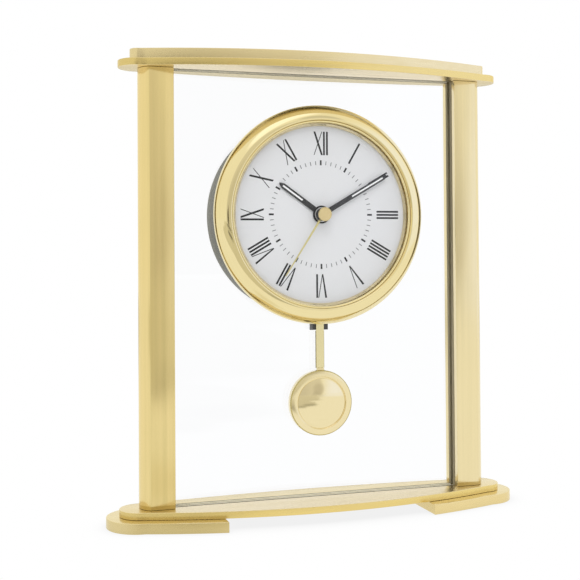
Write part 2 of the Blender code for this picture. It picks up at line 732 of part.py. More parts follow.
def pendulum_slot_half_width():
    """Half width of the slot that the hanger and rod swing in."""
    reach = FLANGE_RADIUS - PIVOT_DROP
    return HANGER_WIDTH / 2 + reach * math.sin(math.radians(SWING_DEGREES)) + SLOT_CLEARANCE


def build_housing():
    """Front housing: a tube through the pane, with a flange in front of it."""
    inner = HOUSING_RADIUS - HOUSING_WALL
    flange_back = GLASS_FRONT + FIT_GAP
    tube_back = HOUSING_FRONT - HOUSING_LENGTH
    lip_outer = BEZEL_BORE_RADIUS - FIT_GAP
    profile = [(lip_outer, LIP_FRONT), (lip_outer, HOUSING_FRONT), (FLANGE_RADIUS, HOUSING_FRONT),
               (FLANGE_RADIUS, flange_back), (HOUSING_RADIUS, flange_back), (HOUSING_RADIUS, tube_back),
               (inner, tube_back), (inner, HOUSING_FRONT), (lip_outer - LIP_WIDTH, HOUSING_FRONT),
               (lip_outer - LIP_WIDTH, LIP_FRONT)]
    housing = turned("front_housing", profile, "grey_plastic", closed=True)
    boss_back = LUG_FORWARD + FIT_GAP
    bosses = []
    for side in (-1, 1):
        xs = sorted((side * BOSS_INNER_X, side * (inner + HOUSING_WALL / 2)))
        bosses.append(head_block(f"housing_boss_{side}", xs, (-LUG_HALF_HEIGHT, LUG_HALF_HEIGHT),
                                 (boss_back, boss_back + BOSS_LENGTH), None, CUTTERS))
    join(housing, *bosses)
    for side in (-1, 1):
        cut(housing, bore(f"housing_boss_hole_{side}", LUG_SCREW_RADIUS + PIVOT_GAP, boss_back - OVERRUN,
                          boss_back + LUG_SCREW_LENGTH - LUG_THICKNESS, (side * LUG_SCREW_X, HEAD_HEIGHT)))
    half = pendulum_slot_half_width()
    cut(housing, head_block("housing_slot", (-half, half), (-FLANGE_RADIUS - OVERRUN, -inner + LIP_WIDTH * 2),
                            (flange_back - OVERRUN, HOUSING_FRONT + LIP_HEIGHT / 2), None, CUTTERS))


def build_can():
    """Rear can behind the pane, its gasket and its removable cover."""
    outer = HOUSING_RADIUS + FIT_GAP + GASKET_WIDTH
    turned("glass_gasket", ring_profile(outer, HOUSING_RADIUS + FIT_GAP, GASKET_FRONT - GASKET_THICKNESS,
                                        GASKET_FRONT), "black_rubber", closed=True)
    collar = HOUSING_RADIUS + FIT_GAP
    inner = CAN_RADIUS - CAN_WALL
    wall_front = CAN_BACK + CAN_BACK_WALL
    ledge_front = CAN_BACK + COVER_THICKNESS + FIT_GAP
    opening = COVER_RADIUS + FIT_GAP
    corner = CAN_BACK_RADIUS
    profile = [(CAN_RADIUS, CAN_FRONT), (CAN_RADIUS, CAN_BACK + corner)]
    profile += [(CAN_RADIUS - corner + corner * math.cos(a), CAN_BACK + corner - corner * math.sin(a))
                for a in (math.pi / 6, math.pi / 3, math.pi / 2)]
    profile += [(opening, CAN_BACK), (opening, ledge_front), (opening - COVER_LEDGE, ledge_front),
                (opening - COVER_LEDGE, wall_front), (inner, wall_front), (inner, CAN_FRONT - CAN_COLLAR_DEPTH),
                (collar, CAN_FRONT - CAN_COLLAR_DEPTH), (collar, CAN_FRONT)]
    turned("rear_can", profile, "grey_plastic", closed=True)

    lip_outer = opening - COVER_LEDGE - FIT_GAP
    lip_front = CAN_BACK + COVER_THICKNESS + COVER_LIP_DEPTH
    disc_front = CAN_BACK + COVER_THICKNESS
    profile = [(0, disc_front), (lip_outer - COVER_LIP_WALL, disc_front),
               (lip_outer - COVER_LIP_WALL, lip_front), (lip_outer, lip_front), (lip_outer, disc_front),
               (COVER_RADIUS, disc_front), (COVER_RADIUS, CAN_BACK), (0, CAN_BACK)]
    cover = turned("rear_cover", profile, "grey_plastic")
    half = COVER_GRIP_WIDTH / 2
    grip = head_block("cover_grip", (-COVER_GRIP_RADIUS, COVER_GRIP_RADIUS), (-half, half),
                      (CAN_BACK, disc_front + COVER_GRIP_HEIGHT), None, CUTTERS)
    join(cover, grip)
    slot = COVER_GRIP_HEIGHT / 2
    reach = COVER_GRIP_RADIUS - slot
    for side in (-1, 1):
        low = side * (half - slot * 2) - slot / 2
        cut(cover, head_block(f"cover_finger_{side}", (-reach, reach), (low, low + slot),
                              (CAN_BACK - OVERRUN, disc_front), None, CUTTERS))


def quarter(start, end, count, rising):
    """Points of a quarter ellipse between two (radius, height) points, start left out.

    A rising quarter leaves its start along the height, any other along the radius.
    """
    points = []
    for i in range(1, count + 1):
        angle = math.pi / 2 * i / count
        shares = (math.sin(angle), 1 - math.cos(angle))
        across, along = reversed(shares) if rising else shares
        points.append((start[0] + (end[0] - start[0]) * across, start[1] + (end[1] - start[1]) * along))
    return points


def build_bezel():
    """Polished ring: a rounded rim, a groove and a thin inner ring over the crystal's edge."""
    shoulder = BEZEL_REAR + BEZEL_SIDE_HEIGHT
    groove_bottom = (BEZEL_GROOVE_RADIUS, BEZEL_CREST - BEZEL_GROOVE_DROP)
    crest = (BEZEL_CREST_RADIUS, BEZEL_CREST)
    inner_ring = (BEZEL_OPENING_RADIUS + BEZEL_LIP_THICKNESS, BEZEL_CREST - BEZEL_INNER_RING_DROP)
    edge = (BEZEL_OPENING_RADIUS, BEZEL_LIP_BACK + BEZEL_LIP_THICKNESS / 2)
    front = [(BEZEL_OPENING_RADIUS, BEZEL_LIP_BACK), edge, inner_ring, groove_bottom]
    front += quarter(groove_bottom, crest, 2, True)
    front += quarter(crest, (BEZEL_RADIUS, shoulder), 4, False)
    front.append((BEZEL_RADIUS, BEZEL_REAR))
    hollow_outer = BEZEL_RADIUS - BEZEL_WALL
    hollow_inner = BEZEL_BORE_RADIUS + BEZEL_WALL
    hollow_top = BEZEL_CREST - BEZEL_GROOVE_DROP - BEZEL_WALL
    hollow = [(hollow_outer, BEZEL_REAR), (hollow_outer, shoulder)]
    hollow += quarter((hollow_outer, shoulder), (BEZEL_CREST_RADIUS, hollow_top), 2, True)
    hollow += [(hollow_inner, hollow_top - BEZEL_WALL), (hollow_inner, BEZEL_REAR),
               (BEZEL_BORE_RADIUS, BEZEL_REAR), (BEZEL_BORE_RADIUS, BEZEL_LIP_BACK)]
    turned("bezel", front + hollow, "polished_brass", closed=True)


def dome(radius, low, rise):
    """Profile points of a shallow dome from its middle to its edge."""
    sphere = (radius ** 2 + rise ** 2) / (2 * rise)
    points = []
    for i in range(DOME_RINGS + 1):
        r = radius * i / DOME_RINGS
        points.append((r, low + rise - sphere + math.sqrt(sphere ** 2 - r ** 2)))
    return points


def build_crystal():
    """Domed crystal with a flat edge, and the reflector ring that holds it."""
    outer = dome(CRYSTAL_DOME_RADIUS, CRYSTAL_FRONT, CRYSTAL_RISE)
    inner_low = CRYSTAL_BACK
    inner = dome(CRYSTAL_DOME_RADIUS - CRYSTAL_THICKNESS, inner_low, CRYSTAL_RISE)
    profile = outer + [(CRYSTAL_RADIUS, CRYSTAL_FRONT), (CRYSTAL_RADIUS, CRYSTAL_BACK)] + inner[::-1]
    turned("crystal_lens", profile, "clear_glass")
    outer_radius = BEZEL_BORE_RADIUS - FIT_GAP
    profile = [(outer_radius, REFLECTOR_FRONT), (outer_radius, REFLECTOR_BACK),
               (REFLECTOR_BACK_RADIUS, REFLECTOR_BACK), (REFLECTOR_FRONT_RADIUS, REFLECTOR_FRONT)]
    turned("reflector_ring", profile, "polished_brass", closed=True)


def build_dial():
    """The plain dial disc with its centre hole."""
    turned("dial_plate", ring_profile(DIAL_RADIUS, DIAL_HOLE_RADIUS, DIAL_BACK, DIAL_FRONT), "dial_white",
           closed=True)


def turned_to(degrees, along, across):
    """A point along and across a hand that points at the given clockwise angle."""
    sine = math.sin(math.radians(degrees))
    cosine = math.cos(math.radians(degrees))
    return (along * sine + across * cosine, along * cosine - across * sine)


def hand(name, degrees, length, width, hub_radius, pipe_radius, forward, material):
    """A baton hand with a round hub, a pointed tip and a long open slot."""
    half = width / 2
    shoulder = length - width * HAND_TIP_SHARE
    bar = [(0, -half), (shoulder, -half), (length, -half / 3), (length, half / 3), (shoulder, half), (0, half)]
    high = forward + HAND_THICKNESS
    centre = (0, HEAD_HEIGHT)
    hub = turned(name, rod_profile(hub_radius, forward, high), material, centre, steps=SMALL_STEPS * 2)
    blade = flat(f"{name}_blade", [turned_to(degrees, a, b) for a, b in bar], forward, high, None, True,
                 centre, CUTTERS)
    join(hub, blade)
    slot_half = half - HAND_RIM
    start = length * HAND_SLOT_START_SHARE
    end = length * HAND_SLOT_END_SHARE - width * HAND_TIP_SHARE / 2
    window = [(start, -slot_half), (end, -slot_half), (end, slot_half), (start, slot_half)]
    cut(hub,
        flat(f"{name}_window", [turned_to(degrees, a, b) for a, b in window], forward - OVERRUN / 2,
             high + OVERRUN / 2, None, True, centre, CUTTERS),
        bore(f"{name}_bore", pipe_radius + PIVOT_GAP, forward - OVERRUN, high + OVERRUN, centre))


def hand_levels():
    """How far forward the back of each hand lies, from the hour hand out."""
    return [FIRST_HAND_FORWARD + i * HAND_SPACING for i in range(3)]


def build_hands():
    """Hour, minute and seconds hands."""
    hour, minute, seconds = hand_levels()
    hand("hour_hand", HOUR_DEGREES, HOUR_LENGTH, HOUR_WIDTH, HOUR_HUB_RADIUS, HOUR_PIPE_RADIUS, hour,
         "hand_charcoal")
    hand("minute_hand", MINUTE_DEGREES, MINUTE_LENGTH, MINUTE_WIDTH, MINUTE_HUB_RADIUS, MINUTE_PIPE_RADIUS,
         minute, "hand_charcoal")
    centre = (0, HEAD_HEIGHT)
    high = seconds + HAND_THICKNESS
    cap = turned("seconds_hand", rod_profile(SECONDS_CAP_RADIUS, seconds, seconds + SECONDS_CAP_HEIGHT),
                 "polished_brass", centre, steps=SMALL_STEPS * 2)
    needle = [(0, -SECONDS_WIDTH / 2), (SECONDS_LENGTH, -SECONDS_TIP_WIDTH / 2),
              (SECONDS_LENGTH, SECONDS_TIP_WIDTH / 2), (0, SECONDS_WIDTH / 2)]
    blade = flat("seconds_needle", [turned_to(SECONDS_DEGREES, a, b) for a, b in needle], seconds, high, None,
                 True, centre, CUTTERS)
    join(cap, blade)
    cut(cap, bore("seconds_bore", ARBOR_RADIUS + PIVOT_GAP, seconds - OVERRUN,
                  seconds + SECONDS_CAP_HEIGHT / 2, centre))


def gear_outline(teeth, pitch_radius, phase):
    """Outline of a spur gear with slim straight-sided teeth, one of them at angle phase."""
    module = 2 * pitch_radius / teeth
    root = pitch_radius - module * TOOTH_ROOT_SHARE
    tip = pitch_radius + module * TOOTH_TIP_SHARE
    pitch = 2 * math.pi / teeth
    points = []
    for i in range(teeth):
        middle = phase + pitch * i
        for radius, share in ((root, -TOOTH_ROOT_WIDTH_SHARE), (tip, -TOOTH_TIP_WIDTH_SHARE),
                              (tip, TOOTH_TIP_WIDTH_SHARE), (root, TOOTH_ROOT_WIDTH_SHARE)):
            angle = middle + pitch * share
            points.append((radius * math.cos(angle), radius * math.sin(angle)))
    return points


def axis_at(centre, distance, angle):
    """A point at a distance and angle from a centre, seen from the front."""
    return (centre[0] + distance * math.cos(angle), centre[1] + distance * math.sin(angle))


def pair_radii(distance, wheel_teeth):
    """Pitch radii of a wheel and its pinion for the distance between their axes."""
    pinion = distance * PINION_LEAVES / (PINION_LEAVES + wheel_teeth)
    return distance - pinion, pinion


def gear(name, teeth, radius, phase, layer, thickness, centre, material=None, collection=None):
    """One toothed disc, in the middle of its layer."""
    return flat(name, gear_outline(teeth, radius, phase), layer - thickness / 2, layer + thickness / 2,
                material, True, centre, collection)


def build_seconds_train(centre):
    """Rotor, intermediate, seconds, third and centre wheels."""
    third_axis = axis_at(centre, THIRD_DISTANCE, THIRD_ANGLE)
    between_axis = axis_at(centre, INTERMEDIATE_DISTANCE, INTERMEDIATE_ANGLE)
    rotor_axis = axis_at(between_axis, ROTOR_DISTANCE, ROTOR_ANGLE)
    back = LID_FRONT + FIT_GAP
    front_wall_back = CASE_FORWARD - CASE_WALL
    seconds_radius, between_pinion = pair_radii(INTERMEDIATE_DISTANCE, SECONDS_TEETH)
    third_radius, seconds_pinion = pair_radii(THIRD_DISTANCE, THIRD_TEETH)
    centre_radius, third_pinion = pair_radii(THIRD_DISTANCE, CENTRE_TEETH)
    between_radius, rotor_pinion = pair_radii(ROTOR_DISTANCE, INTERMEDIATE_TEETH)
    half_turn = math.pi

    wheel = gear("seconds_wheel", SECONDS_TEETH, seconds_radius, INTERMEDIATE_ANGLE, SECONDS_LAYER,
                 WHEEL_THICKNESS, centre, "white_plastic")
    arbor_front = hand_levels()[2] + SECONDS_CAP_HEIGHT / 2
    join(wheel,
         bore("seconds_arbor", ARBOR_RADIUS, back, arbor_front - PIVOT_GAP * 2, centre),
         gear("seconds_pinion", PINION_LEAVES, seconds_pinion, THIRD_ANGLE, THIRD_LAYER, PINION_LENGTH,
              centre, collection=CUTTERS))

    wheel = gear("third_wheel", THIRD_TEETH, third_radius, THIRD_ANGLE + half_turn + half_turn / THIRD_TEETH,
                 THIRD_LAYER, WHEEL_THICKNESS, third_axis, "white_plastic")
    pinion_end = (THIRD_LAYER + CENTRE_LAYER) / 2
    pinion_front = CENTRE_LAYER + PINION_LENGTH / 2
    join(wheel,
         bore("third_arbor", ARBOR_RADIUS, back, front_wall_back - FIT_GAP, third_axis),
         flat("third_pinion", gear_outline(PINION_LEAVES, third_pinion, THIRD_ANGLE + half_turn), pinion_end,
              pinion_front, None, True, third_axis, CUTTERS))

    wheel = gear("centre_wheel", CENTRE_TEETH, centre_radius, THIRD_ANGLE + half_turn / CENTRE_TEETH,
                 CENTRE_LAYER, WHEEL_THICKNESS, centre, "white_plastic")
    cut(wheel, bore("centre_wheel_bore", MINUTE_PIPE_RADIUS + PIVOT_GAP, CENTRE_LAYER - OVERRUN,
                    CENTRE_LAYER + OVERRUN, centre))

    pivot_front = TRAIN_PLATE_LAYER
    wheel = gear("intermediate_wheel", INTERMEDIATE_TEETH, between_radius, ROTOR_ANGLE, INTERMEDIATE_LAYER,
                 WHEEL_THICKNESS, between_axis, "white_plastic")
    join(wheel,
         bore("intermediate_arbor", ARBOR_RADIUS, back, pivot_front, between_axis),
         gear("intermediate_pinion", PINION_LEAVES, between_pinion,
              INTERMEDIATE_ANGLE + half_turn + half_turn / PINION_LEAVES, SECONDS_LAYER, PINION_LENGTH,
              between_axis, collection=CUTTERS))

    magnet_low = ROTOR_LAYER - ROTOR_LENGTH / 2
    magnet_high = ROTOR_LAYER + ROTOR_LENGTH / 2
    profile = [(0, pivot_front), (ARBOR_RADIUS, pivot_front), (ARBOR_RADIUS, magnet_high),
               (ROTOR_RADIUS, magnet_high), (ROTOR_RADIUS, magnet_low), (ARBOR_RADIUS, magnet_low),
               (ARBOR_RADIUS, back), (0, back)]
    rotor = turned("rotor", profile, "steel", rotor_axis, steps=SMALL_STEPS)
    join(rotor, gear("rotor_pinion", PINION_LEAVES, rotor_pinion,
                     ROTOR_ANGLE + half_turn + half_turn / PINION_LEAVES, INTERMEDIATE_LAYER,
                     PINION_LENGTH - FIT_GAP, rotor_axis, collection=CUTTERS))
    return third_axis, between_axis, rotor_axis


def build_motion_work(centre):
    """Minute pipe, minute-work wheel with the setting knob, and hour wheel."""
    work_axis = axis_at(centre, WORK_DISTANCE, WORK_ANGLE)
    work_radius, minute_pinion = pair_radii(WORK_DISTANCE, WORK_TEETH)
    hour_radius, work_pinion = pair_radii(WORK_DISTANCE, HOUR_TEETH)
    front_wall_back = CASE_FORWARD - CASE_WALL
    hour_level, minute_level, seconds_level = hand_levels()
    half_turn = math.pi

    pipe_front = minute_level + HAND_THICKNESS
    pipe_back = CENTRE_LAYER - WHEEL_THICKNESS
    collar_low = hour_level + HAND_THICKNESS + PIVOT_GAP
    collar_high = minute_level - PIVOT_GAP
    profile = [(0, pipe_front), (MINUTE_PIPE_RADIUS, pipe_front), (MINUTE_PIPE_RADIUS, collar_high),
               (COLLAR_RADIUS, collar_high), (COLLAR_RADIUS, collar_low), (MINUTE_PIPE_RADIUS, collar_low),
               (MINUTE_PIPE_RADIUS, pipe_back), (0, pipe_back)]
    pipe = turned("minute_pipe", profile, "steel", centre, steps=SMALL_STEPS)
    join(pipe, gear("minute_pinion", PINION_LEAVES, minute_pinion, WORK_ANGLE, WORK_LAYER, PINION_LENGTH,
                    centre, collection=CUTTERS))
    cut(pipe, bore("minute_pipe_bore", MINUTE_PIPE_BORE, pipe_back - OVERRUN, pipe_front + OVERRUN, centre))

    wheel = gear("minute_work_wheel", WORK_TEETH, work_radius, WORK_ANGLE + half_turn + half_turn / WORK_TEETH,
                 WORK_LAYER, WHEEL_THICKNESS, work_axis, "white_plastic")
    pinion_high = HOUR_LAYER + WHEEL_THICKNESS / 2
    join(wheel,
         bore("work_arbor", WORK_ARBOR_RADIUS, LID_BACK - KNOB_STEM_LENGTH, front_wall_back - FIT_GAP,
              work_axis),
         flat("work_pinion", gear_outline(PINION_LEAVES, work_pinion, WORK_ANGLE + half_turn), WORK_LAYER,
              pinion_high, None, True, work_axis, CUTTERS))

    wheel = gear("hour_wheel", HOUR_TEETH, hour_radius, WORK_ANGLE + half_turn / HOUR_TEETH, HOUR_LAYER,
                 WHEEL_THICKNESS, centre, "white_plastic")
    hour_front = hour_level + HAND_THICKNESS
    join(wheel, bore("hour_pipe", HOUR_PIPE_RADIUS, HOUR_LAYER, hour_front, centre))
    cut(wheel, bore("hour_pipe_bore", HOUR_PIPE_BORE, HOUR_LAYER - OVERRUN, hour_front + OVERRUN, centre))

    knob_front = LID_BACK - FIT_GAP
    knob_back = knob_front - KNOB_STEM_LENGTH - KNOB_LENGTH
    grip_front = knob_front - KNOB_STEM_LENGTH
    low_radius = KNOB_RADIUS - KNOB_RIB_DEPTH
    ribs = []
    for i in range(KNOB_RIBS):
        for radius, share in ((KNOB_RADIUS, 0), (KNOB_RADIUS, KNOB_RIB_SHARE), (low_radius, KNOB_RIB_SHARE),
                              (low_radius, 1)):
            angle = 2 * math.pi * (i + share) / KNOB_RIBS
            ribs.append((radius * math.cos(angle), radius * math.sin(angle)))
    knob = flat("setting_knob", ribs, knob_back, grip_front, "black_plastic", True, work_axis)
    join(knob, bore("knob_stem", KNOB_STEM_RADIUS, grip_front - KNOB_LENGTH / 2, knob_front, work_axis))
    cut(knob, bore("knob_bore", WORK_ARBOR_RADIUS + PIVOT_GAP, LID_BACK - KNOB_STEM_LENGTH - PIVOT_GAP,
                   LID_BACK + OVERRUN, work_axis))
    return work_axis


def build_case(centre, train_axes, work_axis):
    """Movement case, its lid, the train plate and the bush that the hands come out of."""
    wide = CASE_HALF_WIDTH
    inner = wide - CASE_WALL
    back_cut = CASE_BACK - OVERRUN
    floor = CASE_FORWARD - CASE_WALL
    case = head_block("movement_case", (-wide, wide), (-CASE_BOTTOM, CASE_TOP), (CASE_BACK, CASE_FORWARD),
                      "black_plastic")
    box = COIL_BOX_HALF_WIDTH
    overlap = -CASE_BOTTOM / 2
    extra = [head_block("case_coil_box", (-box, box), (-COIL_BOX_BOTTOM, overlap), (CASE_BACK, CASE_FORWARD),
                        None, CUTTERS)]
    lug_back = LUG_FORWARD - LUG_THICKNESS
    for side in (-1, 1):
        xs = sorted((side * inner, side * LUG_REACH))
        extra.append(head_block(f"case_lug_{side}", xs, (-LUG_HALF_HEIGHT, LUG_HALF_HEIGHT),
                                (lug_back, LUG_FORWARD), None, CUTTERS))
        for height in (-PILLAR_LOW, PILLAR_HIGH):
            extra.append(bore(f"case_pillar_{side}_{height > 0}", PILLAR_RADIUS, floor / 2,
                              DIAL_BACK - FIT_GAP, (side * PILLAR_X, HEAD_HEIGHT + height)))
    join(case, *extra)
    bay_low = BATTERY_CENTRE_HEIGHT - BATTERY_BAY_HALF_HEIGHT
    bay_high = BATTERY_CENTRE_HEIGHT + BATTERY_BAY_HALF_HEIGHT
    coil_inner = box - CASE_WALL
    depth = (back_cut, floor)
    cut(case,
        head_block("train_space", (-inner, inner), (-TRAIN_BOTTOM, TRAIN_TOP), depth, None, CUTTERS),
        head_block("coil_space", (-coil_inner, coil_inner), (-COIL_BOX_BOTTOM + CASE_WALL, -TRAIN_BOTTOM / 2),
                   depth, None, CUTTERS),
        head_block("battery_bay", (-inner, inner), (bay_low, bay_high), depth, None, CUTTERS),
        bore("case_bush_hole", BUSH_RADIUS + PIVOT_GAP, floor - OVERRUN, CASE_FORWARD + OVERRUN, centre),
        bore("case_pin_hole", PIVOT_PIN_RADIUS + PIVOT_GAP, floor - OVERRUN, CASE_FORWARD + OVERRUN,
             (0, PIVOT_HEIGHT)))
    for side in (-1, 1):
        cut(case, bore(f"case_lug_hole_{side}", LUG_SCREW_RADIUS + FIT_GAP, lug_back - OVERRUN,
                       LUG_FORWARD + OVERRUN, (side * LUG_SCREW_X, HEAD_HEIGHT)))

    lid = head_block("movement_lid", (-wide, wide), (-CASE_BOTTOM, TRAIN_TOP), (LID_BACK, LID_FRONT),
                     "black_plastic")
    join(lid, head_block("lid_coil_part", (-box, box), (-COIL_BOX_BOTTOM, overlap), (LID_BACK, LID_FRONT),
                         None, CUTTERS))
    work_hole = WORK_ARBOR_RADIUS + FIT_GAP
    cut(lid, bore("lid_knob_hole", work_hole, LID_BACK - OVERRUN, LID_FRONT + OVERRUN, work_axis))

    low = TRAIN_PLATE_LAYER - TRAIN_PLATE_THICKNESS / 2
    high = TRAIN_PLATE_LAYER + TRAIN_PLATE_THICKNESS / 2
    plate = head_block("train_plate", (-TRAIN_PLATE_LEFT, TRAIN_PLATE_RIGHT),
                       (-TRAIN_BOTTOM + FIT_GAP, TRAIN_TOP - FIT_GAP), (low, high), "white_plastic")
    for i, axis in enumerate((centre, *train_axes)):
        cut(plate, bore(f"train_plate_hole_{i}", ARBOR_RADIUS + FIT_GAP, low - OVERRUN, high + OVERRUN, axis))
    cut(plate, bore("train_plate_work_hole", work_hole, low - OVERRUN, high + OVERRUN, work_axis))

    turned("centre_bush", ring_profile(BUSH_RADIUS, BUSH_BORE, floor, DIAL_FRONT - SEAT_GAP), "pale_brass",
           centre, steps=SMALL_STEPS, closed=True)


def build_electrics(rotor_axis):
    """Battery, contacts, circuit board, motor stator and coils."""
    centre_z = HEAD_HEIGHT + BATTERY_CENTRE_HEIGHT
    bay_front = CASE_FORWARD - CASE_WALL
    middle = bay_front - BATTERY_RADIUS - FIT_GAP
    half = BATTERY_LENGTH / 2
    profile = [(0, half), (BATTERY_NUB_RADIUS, half), (BATTERY_NUB_RADIUS, half - BATTERY_NUB_LENGTH),
               (BATTERY_RADIUS, half - BATTERY_NUB_LENGTH), (BATTERY_RADIUS, -half), (0, -half)]
    cell = turned("battery", profile, "cell_jacket", steps=SMALL_STEPS + 4)
    cell.rotation_euler = (0, math.pi / 2, 0)
    cell.location = (0, -middle, centre_z)
    low = BATTERY_CENTRE_HEIGHT - CONTACT_HALF_WIDTH
    high = BATTERY_CENTRE_HEIGHT + CONTACT_HALF_WIDTH
    contact_front = bay_front - FIT_GAP
    contact_back = contact_front - CONTACT_DEPTH
    reach = CASE_HALF_WIDTH - CASE_WALL - FIT_GAP
    for side, name in ((-1, "negative_contact"), (1, "positive_contact")):
        near = half + FIT_GAP
        xs = sorted((side * near, side * (near + CONTACT_THICKNESS)))
        strip = head_block(name, xs, (low, high), (contact_back, contact_front), "steel")
        ends = sorted((side * near, side * reach))
        join(strip, head_block(f"{name}_tab", ends, (low, high),
                               (contact_back, contact_back + CONTACT_THICKNESS), None, CUTTERS))

    board_front = BOARD_FORWARD
    head_block("circuit_board", (BOARD_X, BOARD_X + BOARD_WIDTH), (-BOARD_LOW, BOARD_HIGH),
               (board_front - BOARD_THICKNESS, board_front), "board_green")
    can_forward = board_front - BOARD_THICKNESS - FIT_GAP - CRYSTAL_CAN_RADIUS
    can = turned("quartz_crystal", rod_profile(CRYSTAL_CAN_RADIUS, 0, CRYSTAL_CAN_LENGTH), "steel", steps=12)
    can.rotation_euler = (0, 0, 0)
    can.location = (BOARD_X + BOARD_WIDTH / 2, -can_forward, HEAD_HEIGHT)

    low = ROTOR_LAYER - STATOR_THICKNESS / 2
    high = ROTOR_LAYER + STATOR_THICKNESS / 2
    arm_left = -STATOR_ARM_X
    arm_right = arm_left + STATOR_ARM_WIDTH
    arm = head_block("stator", (arm_left, arm_right), (-STATOR_ARM_BOTTOM, STATOR_ARM_TOP), (low, high),
                     "steel")
    join(arm,
         head_block("stator_bridge", (arm_left, rotor_axis[0]),
                    (-STATOR_ARM_BOTTOM, -STATOR_ARM_BOTTOM + STATOR_BRIDGE_HEIGHT), (low, high), None,
                    CUTTERS),
         bore("stator_ring", STATOR_RING_RADIUS, low, high, rotor_axis))
    cut(arm, bore("stator_bore", STATOR_BORE_RADIUS, low - OVERRUN, high + OVERRUN, rotor_axis))

    top_cheek = MOTOR_COIL_HIGH - MOTOR_COIL_CHEEK
    bottom_cheek = -MOTOR_COIL_LOW + MOTOR_COIL_CHEEK
    profile = [(0, MOTOR_COIL_HIGH), (MOTOR_COIL_CHEEK_RADIUS, MOTOR_COIL_HIGH),
               (MOTOR_COIL_CHEEK_RADIUS, top_cheek), (MOTOR_COIL_RADIUS, top_cheek),
               (MOTOR_COIL_RADIUS, bottom_cheek), (MOTOR_COIL_CHEEK_RADIUS, bottom_cheek),
               (MOTOR_COIL_CHEEK_RADIUS, -MOTOR_COIL_LOW), (0, -MOTOR_COIL_LOW)]
    coil = turned("motor_coil", profile, "copper", steps=SMALL_STEPS)
    coil.rotation_euler = (0, 0, 0)
    arm_middle = (arm_left + arm_right) / 2
    coil.location = (arm_middle, -ROTOR_LAYER, HEAD_HEIGHT)
    slot_half = STATOR_ARM_WIDTH / 2 + PIVOT_GAP
    slot_deep = STATOR_THICKNESS / 2 + PIVOT_GAP
    cut(coil, head_block("motor_coil_slot", (arm_middle - slot_half, arm_middle + slot_half),
                         (-MOTOR_COIL_LOW - OVERRUN, MOTOR_COIL_HIGH + OVERRUN),
                         (ROTOR_LAYER - slot_deep, ROTOR_LAYER + slot_deep), None, CUTTERS))
    front = bay_front - FIT_GAP
    turned("pendulum_coil", ring_profile(SWING_COIL_RADIUS, SWING_COIL_BORE, front - SWING_COIL_LENGTH, front),
           "copper", (0, HEAD_HEIGHT - SWING_COIL_DROP), steps=SMALL_STEPS, closed=True)


def build_movement_screws():
    """The two screws that hold the movement to the housing's bosses."""
    for side, name in ((-1, "left"), (1, "right")):
        head_high = LUG_FORWARD - LUG_THICKNESS - SEAT_GAP
        head_low = head_high - LUG_SCREW_HEAD_HEIGHT
        tip = LUG_FORWARD + LUG_SCREW_LENGTH - LUG_THICKNESS
        profile = [(0, tip), (LUG_SCREW_RADIUS, tip), (LUG_SCREW_RADIUS, head_high),
                   (LUG_SCREW_HEAD_RADIUS, head_high), (LUG_SCREW_HEAD_RADIUS, head_low), (0, head_low)]
        turned(f"{name}_movement_screw", profile, "steel", (side * LUG_SCREW_X, HEAD_HEIGHT), steps=SMALL_STEPS)


